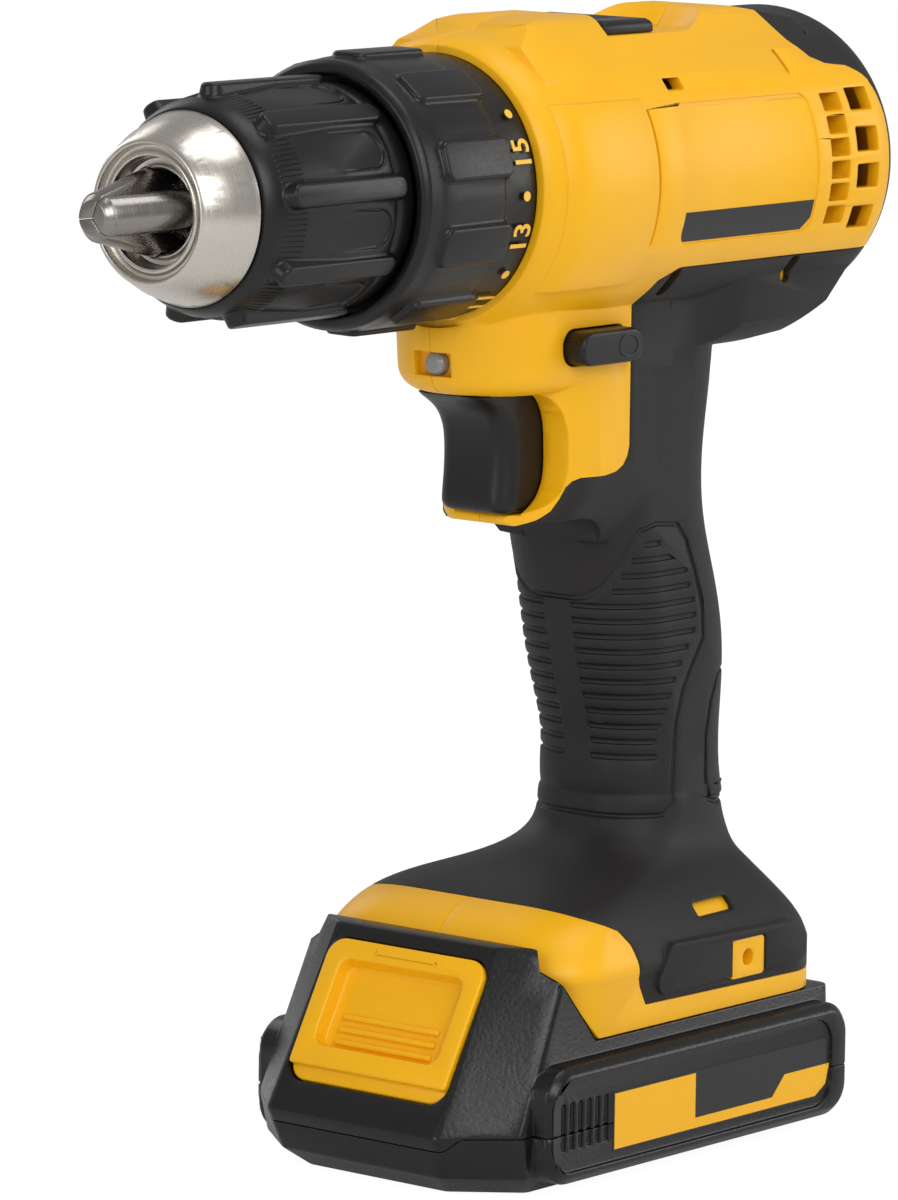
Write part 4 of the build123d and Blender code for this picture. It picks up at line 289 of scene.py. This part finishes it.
def turned(name, code, roughness, line_mm, depth_mm):
    """Bright metal turned on a lathe: fine rings round the spindle."""
    material = bpy.data.materials.new(name)
    material.use_nodes = True
    tree = material.node_tree
    shader = tree.nodes["Principled BSDF"]
    where = add_node(tree, "ShaderNodeTexCoord").outputs["Object"]
    centred = add_node(
        tree, "ShaderNodeVectorMath", {0: where}, operation="SUBTRACT", _1=(0, 0, SPINDLE_Z)
    )
    across = add_node(
        tree, "ShaderNodeVectorMath", {0: centred.outputs[0]}, operation="MULTIPLY", _1=(0, 1, 1)
    )
    radius = add_node(tree, "ShaderNodeVectorMath", {0: across.outputs[0]}, operation="LENGTH")
    axes = add_node(tree, "ShaderNodeSeparateXYZ", {0: centred.outputs[0]})
    rings = add_node(
        tree, "ShaderNodeCombineXYZ", {"X": axes.outputs["X"], "Y": radius.outputs["Value"]}
    )
    lines = grain(tree, rings.outputs[0], line_mm, 2.0)
    spread = add_node(
        tree, "ShaderNodeMapRange", {"Value": lines.outputs["Fac"]},
        _1=0.2, _2=0.8, _3=roughness - 0.07, _4=roughness + 0.1,
    )
    tree.links.new(spread.outputs["Result"], shader.inputs["Roughness"])
    bump = add_node(
        tree, "ShaderNodeBump", {"Height": lines.outputs["Fac"]}, Strength=0.5, Distance=depth_mm * MM
    )
    tree.links.new(bump.outputs["Normal"], shader.inputs["Normal"])
    shader.inputs["Base Color"].default_value = linear(code)
    shader.inputs["Metallic"].default_value = 1.0
    return material


def metal(name, code, roughness, grain_mm=0.4):
    """Plain metal with a faint uneven polish."""
    material = bpy.data.materials.new(name)
    material.use_nodes = True
    tree = material.node_tree
    shader = tree.nodes["Principled BSDF"]
    where = add_node(tree, "ShaderNodeTexCoord").outputs["Object"]
    fine = grain(tree, where, grain_mm)
    spread = add_node(
        tree, "ShaderNodeMapRange", {"Value": fine.outputs["Fac"]},
        _1=0.25, _2=0.75, _3=max(0.05, roughness - 0.1), _4=roughness + 0.1,
    )
    tree.links.new(spread.outputs["Result"], shader.inputs["Roughness"])
    shader.inputs["Base Color"].default_value = linear(code)
    shader.inputs["Metallic"].default_value = 1.0
    return material


def lens_plastic():
    """Clear polycarbonate, cloudy inside where the light-emitting diode sits."""
    material = bpy.data.materials.new("clear polycarbonate")
    material.use_nodes = True
    tree = material.node_tree
    shader = tree.nodes["Principled BSDF"]
    where = add_node(tree, "ShaderNodeTexCoord").outputs["Object"]
    haze = grain(tree, where, 1.5)
    spread = add_node(
        tree, "ShaderNodeMapRange", {"Value": haze.outputs["Fac"]}, _1=0.3, _2=0.7, _3=0.04, _4=0.14
    )
    tree.links.new(spread.outputs["Result"], shader.inputs["Roughness"])
    shader.inputs["Base Color"].default_value = linear("#D9DADB")
    shader.inputs["Transmission Weight"].default_value = 0.65
    shader.inputs["IOR"].default_value = 1.58
    return material


def make_finishes(colours):
    """All finishes, by the name of the real material."""
    yellow, rubber, black = (
        colours.housing_code, colours.rubber_code, colours.black_code,
    )
    return {
        # glass-filled nylon from a fine-eroded mould: warm yellow with a silky shine
        "yellow nylon": moulded("glass-filled nylon, yellow", yellow, 0.42, 0.5, 0.016, 0.035),
        # polished ABS: brighter and smoother than the body
        "yellow abs": moulded("ABS, yellow", yellow, 0.34, 0.9, 0.010, 0.02),
        # thermoplastic rubber moulded over the body: soft, dull, dark grey
        "rubber": moulded("thermoplastic elastomer", rubber, 0.58, 0.45, 0.030, 0.10),
        # glass-filled nylon: near black, satin, catches long highlights on the lugs
        "black nylon": moulded("glass-filled nylon, black", black, 0.36, 0.6, 0.012, 0.08),
        # coarse spark-eroded ABS: sparkles where light grazes it
        "eroded abs": moulded("spark-eroded ABS, black", black, 0.30, 0.75, 0.085, 0.08),
        # acetal: slick and slightly waxy
        "acetal": moulded("acetal, black", black, 0.40, 0.8, 0.008, 0.06),
        # printed film under a clear coat
        "label black": moulded("printed vinyl, black", "#1F1F21", 0.30, 1.2, 0.004, 0.04),
        "label yellow": moulded("printed vinyl, yellow", yellow, 0.32, 1.2, 0.004, 0.02),
        "print yellow": moulded("pad-printed ink, yellow", "#F3C044", 0.5, 0.6, 0.01, 0.05),
        "nickel": turned("satin nickel on steel", "#C6C1B8", 0.26, 0.22, 0.010),
        "jaw steel": turned("hardened steel, ground", "#8D8984", 0.27, 0.35, 0.012),
        "zinc": metal("zinc-plated steel", "#B4B5B3", 0.32),
        "gear steel": metal("sintered steel", "#8B8A87", 0.38, 0.3),
        "spring steel": metal("spring steel", "#77746F", 0.30),
        "can steel": metal("zinc-coated motor can", "#9C9C9A", 0.36, 0.8),
        "copper": metal("enamelled copper wire", "#B4622E", 0.34, 0.6),
        "laminations": turned("stacked steel laminations", "#7C7B78", 0.42, 0.5, 0.03),
        "tinned": metal("tinned bronze", "#B9B6AD", 0.28),
        "bearing steel": turned("bearing steel", "#A9A8A4", 0.22, 0.3, 0.006),
        "carbon": moulded("copper graphite", "#2D2B2A", 0.55, 0.3, 0.02, 0.2),
        "ferrite": moulded("ferrite magnet", "#37373A", 0.62, 0.4, 0.03, 0.12),
        "board": moulded("epoxy glass board", "#1F5A34", 0.35, 0.9, 0.01, 0.12),
        "cell wrap": moulded("PVC cell wrap", "#2E7C86", 0.28, 1.5, 0.006, 0.05),
        "wire": moulded("PVC wire insulation", "#A8231E", 0.42, 1.0, 0.008, 0.05),
        "grey nylon": moulded("glass-filled nylon, grey", "#55575A", 0.45, 0.6, 0.02, 0.08),
        "polycarbonate": lens_plastic(),
    }


# ----------------------------------------------------------------------------
# Sizes and colours a user may change
# ----------------------------------------------------------------------------
class DrillColours(bpy.types.PropertyGroup):
    """Colours of the mouldings."""

    housing_code: bpy.props.StringProperty(
        name="Housing", description="sRGB hex colour of the yellow mouldings", default="#F4B40A"
    )
    rubber_code: bpy.props.StringProperty(
        name="Rubber", description="sRGB hex colour of the overmould", default="#1B1918"
    )
    black_code: bpy.props.StringProperty(
        name="Black", description="sRGB hex colour of the black mouldings", default="#111010"
    )


class DrillSizes(bpy.types.PropertyGroup):
    """Sizes of the eased edges and the markings."""

    housing_edge: bpy.props.FloatProperty(
        name="Housing edges", description="Rounding of the housing's edges and its joint line",
        default=0.25 * MM, unit="LENGTH",
    )
    rubber_edge: bpy.props.FloatProperty(
        name="Rubber edges", description="Rounding of the overmould's edges",
        default=0.35 * MM, unit="LENGTH",
    )
    number_height: bpy.props.FloatProperty(
        name="Number size", description="Type size of the clutch numbers", default=6.4 * MM,
        unit="LENGTH",
    )
    number_x: bpy.props.FloatProperty(
        name="Number place", description="Middle of the numbers ahead of the collar's rear edge",
        default=3.6 * MM, unit="LENGTH",
    )
    top_number_angle: bpy.props.FloatProperty(
        name="Highest number", description="How far the highest number stands up from the side",
        default=radians(17.7), subtype="ANGLE",
    )
    number_step: bpy.props.FloatProperty(
        name="Setting step", description="Turn between two settings", default=radians(18.0),
        subtype="ANGLE",
    )


# ----------------------------------------------------------------------------
# Pieces
# ----------------------------------------------------------------------------
FINISH = {}


class DRILL_OT_housing(bpy.types.Operator):
    """Housing halves with an eased joint line, and the strip on their name panel"""

    bl_idname = "drill.housing"
    bl_label = "Housing"

    def execute(self, context):
        edge = context.scene.drill_sizes.housing_edge
        for side in ("left", "right"):
            dressed(f"housing_{side}", f"shell_{side}", edge, FINISH["yellow nylon"])
            self.name_strip(side)
        paint(NODES["housing_screws"], FINISH["zinc"])
        return {"FINISHED"}

    def name_strip(self, side):
        """Bare dark strip along the bottom of the recessed panel, wrapped round the barrel."""
        low, high, front, rear, cut = 178.8 * MM, 184.6 * MM, 0.0, -41.0 * MM, 2.2 * MM
        radius = 29.6 * MM
        bottom = [(front + (rear + cut - front) * k / 8, low) for k in range(9)]
        top = [(rear + (front - rear) * k / 8, high) for k in range(1, 8)]
        outline = [(front, high)] + bottom + [(rear, low + cut), (rear, high)] + top
        strip = flat_outline(f"panel_strip_{side}", outline, 0.12 * MM)
        edit_all(strip)
        bpy.ops.mesh.quads_convert_to_tris(quad_method="BEAUTY", ngon_method="BEAUTY")
        for cut_z in range(1, 5):
            bpy.ops.mesh.select_all(action="SELECT")
            bpy.ops.mesh.bisect(
                plane_co=(0, low + (high - low) * cut_z / 5, 0), plane_no=(0, 1, 0)
            )
        close_edit()
        sign = 1 if side == "left" else -1

        def wrap(point):
            up = point.y - SPINDLE_Z
            out = (radius ** 2 - up ** 2) ** 0.5
            scale = (radius - 0.05 * MM + point.z) / radius
            return Vector((point.x, sign * out * scale, SPINDLE_Z + up * scale))

        reshape(strip, wrap)
        edit_all(strip)
        bpy.ops.mesh.normals_make_consistent(inside=False)
        close_edit()
        ease(strip, 0)
        paint(strip, FINISH["label black"])
        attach(strip, "body")


class DRILL_OT_grip(bpy.types.Operator):
    """Rubber overmould of the grip and foot, the rear bumper and the hook inserts"""

    bl_idname = "drill.grip"
    bl_label = "Grip and bumper"

    def execute(self, context):
        edge = context.scene.drill_sizes.rubber_edge
        dressed("grip_cover", "grip_rubber", edge, FINISH["rubber"])
        dressed("rear_bumper", "bumper_rubber", edge, FINISH["rubber"])
        dressed("foot_inserts", "hook_inserts", 0.3 * MM, FINISH["yellow abs"])
        return {"FINISHED"}


class DRILL_OT_collar(bpy.types.Operator):
    """Clutch collar with its printed numbers and dots"""

    bl_idname = "drill.collar"
    bl_label = "Clutch collar"

    def execute(self, context):
        sizes = context.scene.drill_sizes
        dressed("clutch_collar", "collar", 0.5 * MM, FINISH["black nylon"], segments=3)
        prints = []
        for setting in range(1, 17):
            angle = sizes.top_number_angle + (setting - 15) * sizes.number_step
            mark = self.number(setting, sizes) if setting % 2 else self.dot()
            place = COLLAR_REAR_X + sizes.number_x
            reshape(mark, lambda point: self.wrapped(point, place, angle))
            prints.append(mark)
        bpy.ops.object.select_all(action="DESELECT")
        for mark in prints:
            mark.select_set(True)
        bpy.context.view_layer.objects.active = prints[0]
        bpy.ops.object.join()
        marks = bpy.context.object
        marks.name = "clutch_numbers"
        edit_all(marks)
        bpy.ops.mesh.normals_make_consistent(inside=False)
        close_edit()
        marks.data.materials.clear()
        paint(marks, FINISH["print yellow"])
        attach(marks, "collar")
        return {"FINISHED"}

    def number(self, value, sizes):
        """One number as a thin flat print, centred."""
        bpy.ops.object.select_all(action="DESELECT")
        bpy.ops.object.text_add()
        text = bpy.context.object
        text.data.body = str(value)
        text.data.size = sizes.number_height
        text.data.align_x = "CENTER"
        text.data.align_y = "CENTER"
        text.data.extrude = 0.05 * MM
        text.data.offset = 0.09 * MM
        text.data.resolution_u = 3
        bpy.ops.object.convert(target="MESH")
        return bpy.context.object

    def dot(self):
        """One dot, slightly oval."""
        bpy.ops.object.select_all(action="DESELECT")
        bpy.ops.mesh.primitive_cylinder_add(vertices=20, radius=0.95 * MM, depth=0.1 * MM)
        return bpy.context.object

    def wrapped(self, point, place, angle):
        """Lay a flat point on the ring: its first direction runs up round the ring."""
        x = place + point.y
        radius = COLLAR_R - 0.9 * MM + 0.2 * MM * (1 - (x - COLLAR_REAR_X) / (9.1 * MM))
        surface = min(radius, COLLAR_R) + point.z
        return round_spindle(x, surface, angle + point.x / radius)


class DRILL_OT_chuck(bpy.types.Operator):
    """Keyless chuck: nickel-plated body, steel jaws and the moulded sleeve with its knurl"""

    bl_idname = "drill.chuck"
    bl_label = "Chuck"

    def execute(self, context):
        dressed("chuck_body", "chuck_nose", 0.2 * MM, FINISH["nickel"])
        for k in (1, 2, 3):
            dressed(f"chuck_jaw_{k}", f"jaw_{k}_steel", 0.15 * MM, FINISH["jaw steel"])
        dressed("chuck_sleeve", "sleeve", 0.5 * MM, FINISH["black nylon"], segments=3)
        self.knurl(126)
        return {"FINISHED"}

    def knurl(self, ridges):
        """Fine ridges round the front of the sleeve: one is shaped, then spun round."""
        rear, front = SLEEVE_FRONT_X - 9.6 * MM, SLEEVE_FRONT_X - 3.2 * MM
        rear_r, front_r = 20.92 * MM, 20.05 * MM
        bpy.ops.object.select_all(action="DESELECT")
        bpy.ops.mesh.primitive_cube_add(size=MM)
        ridge = bpy.context.object
        ridge.name = "sleeve_knurl"

        def stand(point):
            along = point.x / MM + 0.5
            high = point.z > 0
            base = rear_r + (front_r - rear_r) * along
            inset = 0.6 * MM * (1 if high else 0) * (1 if along < 0.5 else -1)
            radius = base + (0.2 * MM if high else -0.25 * MM)
            return Vector(
                (
                    rear + (front - rear) * along + inset, radius,
                    SPINDLE_Z + point.y * (0.22 if high else 0.62),
                )
            )

        reshape(ridge, stand)
        edit_all(ridge)
        bpy.ops.mesh.spin(
            steps=ridges - 1, dupli=True, angle=2 * pi * (ridges - 1) / ridges,
            center=(0, 0, SPINDLE_Z), axis=(1, 0, 0),
        )
        bpy.ops.mesh.select_all(action="SELECT")
        bpy.ops.mesh.normals_make_consistent(inside=False)
        close_edit()
        paint(ridge, FINISH["black nylon"])
        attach(ridge, "chuck_grip")


class DRILL_OT_controls(bpy.types.Operator):
    """Trigger, direction button, speed selector and lamp"""

    bl_idname = "drill.controls"
    bl_label = "Controls"

    def execute(self, context):
        dressed("trigger", "trigger_pad", 0, FINISH["acetal"])
        dressed("direction_button", "reverse_button", 0.4 * MM, FINISH["acetal"], segments=3)
        dressed("speed_selector", "selector_button", 0.4 * MM, FINISH["acetal"], segments=3)
        paint(NODES["led_lens"], FINISH["polycarbonate"])
        for side in (1, -1):
            self.thumb_mark(side)
        return {"FINISHED"}

    def thumb_mark(self, side):
        """Oval raised bead that the thumb finds on each end of the direction button."""
        low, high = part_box("direction_button")
        middle = (low + high) / 2
        bpy.ops.object.select_all(action="DESELECT")
        bpy.ops.mesh.primitive_torus_add(
            major_radius=2.1 * MM, minor_radius=0.28 * MM, major_segments=40, minor_segments=8,
            rotation=(pi / 2, 0, 0),
        )
        bead = bpy.context.object
        bead.name = "button_bead_left" if side > 0 else "button_bead_right"
        bpy.ops.object.transform_apply(location=True, rotation=True, scale=True)
        face = high.y if side > 0 else low.y
        centre = Vector((middle.x - 4.6 * MM, face - side * 0.1 * MM, middle.z))
        reshape(bead, lambda point: Vector((point.x * 1.35, point.y, point.z)) + centre)
        ease(bead, 0)
        paint(bead, FINISH["acetal"])
        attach(bead, "direction")


class DRILL_OT_battery(bpy.types.Operator):
    """Battery shells, release latch and the bare labels on both sides"""

    bl_idname = "drill.battery"
    bl_label = "Battery"

    def execute(self, context):
        dressed("battery_top", "battery_upper_shell", 0.4 * MM, FINISH["eroded abs"])
        dressed("battery_bottom", "battery_lower_shell", 0.4 * MM, FINISH["eroded abs"])
        dressed("latch_button", "release_latch", 0.45 * MM, FINISH["yellow abs"], segments=3)
        for side in (1, -1):
            self.label(side)
        return {"FINISHED"}

    def label(self, side):
        """Bare printed label: a black film with a plain yellow block, band and tail."""
        face = 36.7 * MM
        name = "left" if side > 0 else "right"
        film = [
            (27.9, 18.2), (27.9, 6.5), (-36.6, 6.5), (-40.4, 8.6), (-41.9, 12.6), (-41.9, 16.2),
            (-39.6, 18.2),
        ]
        print_shape = [
            (27.5, 17.8), (27.5, 6.9), (-36.8, 6.9), (-40.1, 8.9), (-41.3, 12.9), (-26.6, 12.9),
            (-22.6, 8.9), (2.2, 8.9), (2.2, 17.8),
        ]
        for part, points, lift in (("film", film, 0.05), ("band", print_shape, 0.10)):
            outline = [(x * MM, z * MM) for x, z in points]
            plate = flat_outline(f"label_{part}_{name}", outline, 0.05 * MM)

            def stand(point, lift=lift):
                return Vector((point.x, side * (face + (lift - 0.05) * MM + point.z), point.y))

            reshape(plate, stand)
            edit_all(plate)
            bpy.ops.mesh.normals_make_consistent(inside=False)
            close_edit()
            paint(plate, FINISH["label yellow" if part == "band" else "label black"])
            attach(plate, "pack")


class DRILL_OT_insides(bpy.types.Operator):
    """Finishes of the motor, gearbox, clutch and battery parts inside the shells"""

    bl_idname = "drill.insides"
    bl_label = "Insides"

    def execute(self, context):
        wear = {
            "switch_module": "grey nylon", "terminal_block": "grey nylon", "wires": "wire",
            "gearbox_case": "grey nylon", "ring_gear_1": "grey nylon", "ring_gear_2": "gear steel",
            "ring_gear_3": "gear steel", "clutch_hardware": "zinc", "clutch_spring": "spring steel",
            "bearings": "bearing steel", "motor_can": "can steel", "motor_magnets": "ferrite",
            "end_bell": "black nylon", "brushes": "carbon", "motor_shaft": "bearing steel",
            "armature": "laminations", "rotor_copper": "copper", "motor_fan": "black nylon",
            "pinion": "gear steel", "carrier_1": "gear steel", "carrier_2": "gear steel",
            "output_spindle": "bearing steel", "jaw_nut": "gear steel", "chuck_screw": "zinc",
            "clutch_nut": "grey nylon", "trigger_spring": "spring steel",
            "shift_fork": "grey nylon", "cells": "cell wrap", "cell_tray": "black nylon",
            "battery_board": "board", "battery_contacts": "tinned",
        }
        for stage in (1, 2, 3):
            for k in (1, 2, 3):
                wear[f"planet_{stage}_{k}"] = "gear steel"
        for node, finish in wear.items():
            only(NODES[node])
            bpy.ops.object.shade_smooth_by_angle(angle=radians(35))
            paint(NODES[node], FINISH[finish])
        return {"FINISHED"}


class DRILL_OT_stage(bpy.types.Operator):
    """Pale floor, soft studio lamps and the camera"""

    bl_idname = "drill.stage"
    bl_label = "Stage"

    def execute(self, context):
        self.floor()
        self.lamps(context)
        self.camera(context)
        context.scene.view_settings.view_transform = "Standard"
        return {"FINISHED"}

    def floor(self):
        """Round pale floor that looks white to the camera and still takes a soft shadow."""
        bpy.ops.object.select_all(action="DESELECT")
        bpy.ops.mesh.primitive_circle_add(
            vertices=96, radius=6.0, fill_type="NGON", location=(0, 0, FOOT_Z - 0.3 * MM)
        )
        floor = bpy.context.object
        floor.name = "floor"
        material = bpy.data.materials.new("matt white paper")
        material.use_nodes = True
        tree = material.node_tree
        tree.nodes.clear()
        where = add_node(tree, "ShaderNodeTexCoord").outputs["Object"]
        fibre = grain(tree, where, 0.8)
        tone = add_node(
            tree, "ShaderNodeMix", {"Factor": fibre.outputs["Fac"]}, data_type="RGBA",
            _6=linear("#EDEDED"), _7=linear("#F4F4F4"),
        )
        paper = add_node(tree, "ShaderNodeBsdfDiffuse", {"Color": tone.outputs[2]})
        glow = add_node(tree, "ShaderNodeEmission", Strength=1.12)
        both = add_node(
            tree, "ShaderNodeMixShader",
            {0: self.seen(tree, 0.86), 1: paper.outputs[0], 2: glow.outputs[0]},
        )
        add_node(tree, "ShaderNodeOutputMaterial", {"Surface": both.outputs[0]})
        paint(floor, material)

    def seen(self, tree, share):
        """share on rays from the eye or through glass, little of it on a gloss's, none on others."""
        path = add_node(tree, "ShaderNodeLightPath")
        gloss = add_node(
            tree, "ShaderNodeMath", {0: path.outputs["Is Glossy Ray"]}, operation="MULTIPLY", _1=0.15
        )
        direct = add_node(
            tree, "ShaderNodeMath",
            {0: path.outputs["Is Camera Ray"], 1: gloss.outputs[0]}, operation="MAXIMUM",
        )
        through = add_node(
            tree, "ShaderNodeMath",
            {0: direct.outputs[0], 1: path.outputs["Is Transmission Ray"]}, operation="MAXIMUM",
        )
        part = add_node(
            tree, "ShaderNodeMath", {0: through.outputs[0]}, operation="MULTIPLY", _1=share
        )
        return part.outputs[0]

    def lamps(self, context):
        """Large soft boxes: main from the upper front left, fill, top and back."""
        aim = Vector((0.01, 0, 0.12))
        boxes = (
            ("main lamp", (0.75, 1.35, 0.95), 0.9, 12.5),
            ("front lamp", (1.7, -0.1, 0.55), 0.7, 6.5),
            ("top lamp", (-0.2, 0.3, 1.6), 0.9, 7.0),
            ("rear lamp", (-1.2, 0.9, 0.5), 0.7, 5.0),
            ("far lamp", (-0.3, -1.5, 0.9), 0.9, 4.0),
        )
        for name, place, size, power in boxes:
            light = bpy.data.lights.new(name, "AREA")
            light.shape = "SQUARE"
            light.size = size
            light.energy = power
            lamp = bpy.data.objects.new(name, light)
            lamp.location = place
            lamp.rotation_euler = (Vector(place) - aim).to_track_quat("Z", "Y").to_euler()
            context.scene.collection.objects.link(lamp)
        world = bpy.data.worlds.new("pale studio")
        context.scene.world = world
        world.use_nodes = True
        tree = world.node_tree
        tree.nodes.clear()
        strength = add_node(
            tree, "ShaderNodeMath", {0: self.seen(tree, 0.68)}, operation="ADD", _1=0.32
        )
        sky = add_node(
            tree, "ShaderNodeBackground", {"Strength": strength.outputs[0]}, Color=linear("#FFFFFF")
        )
        add_node(tree, "ShaderNodeOutputWorld", {"Surface": sky.outputs[0]})

    def camera(self, context):
        """Long lens from the front left, a little above the drill."""
        turn_angle, height, tilt = 0.6892, 0.1487, 0.0126
        distance, shift_right, shift_up = 1.4006, -0.02078, 0.10538
        back = Vector(
            (cos(turn_angle) * cos(height), sin(turn_angle) * cos(height), sin(height))
        )
        level = (-back).cross(Vector((0, 0, 1))).normalized()
        upright = level.cross(-back)
        right = cos(tilt) * level + sin(tilt) * upright
        up = -sin(tilt) * level + cos(tilt) * upright
        data = bpy.data.cameras.new("studio camera")
        data.lens = 212.17
        data.sensor_width = 36.0
        data.sensor_fit = "AUTO"
        data.clip_start = 0.05
        data.clip_end = 50.0
        camera = bpy.data.objects.new("studio camera", data)
        context.scene.collection.objects.link(camera)
        place = Matrix((right, up, back)).transposed().to_4x4()
        place.translation = back * distance + right * shift_right + up * shift_up
        camera.matrix_world = place
        context.scene.camera = camera


class DRILL_PT_panel(bpy.types.Panel):
    """Lists the drill's pieces, sizes and colours"""

    bl_idname = "DRILL_PT_panel"
    bl_label = "Cordless drill"
    bl_space_type = "VIEW_3D"
    bl_region_type = "UI"
    bl_category = "Drill"

    def draw(self, context):
        for group in (context.scene.drill_colours, context.scene.drill_sizes):
            for key in group.__annotations__:
                self.layout.prop(group, key)
        for operator in OPERATORS:
            self.layout.operator(operator.bl_idname)


OPERATORS = (
    DRILL_OT_housing, DRILL_OT_grip, DRILL_OT_collar, DRILL_OT_chuck, DRILL_OT_controls,
    DRILL_OT_battery, DRILL_OT_insides, DRILL_OT_stage,
)
CLASSES = (DrillColours, DrillSizes) + OPERATORS + (DRILL_PT_panel,)


def register():
    for each in CLASSES:
        bpy.utils.register_class(each)
    bpy.types.Scene.drill_colours = bpy.props.PointerProperty(type=DrillColours)
    bpy.types.Scene.drill_sizes = bpy.props.PointerProperty(type=DrillSizes)


def unregister():
    del bpy.types.Scene.drill_colours
    del bpy.types.Scene.drill_sizes
    for each in reversed(CLASSES):
        bpy.utils.unregister_class(each)


def main():
    """Build every piece in order."""
    register()
    FINISH.update(make_finishes(bpy.context.scene.drill_colours))
    bpy.ops.drill.housing()
    bpy.ops.drill.grip()
    bpy.ops.drill.collar()
    bpy.ops.drill.chuck()
    bpy.ops.drill.controls()
    bpy.ops.drill.battery()
    bpy.ops.drill.insides()
    bpy.ops.drill.stage()


if __name__ == "__main__":
    main()
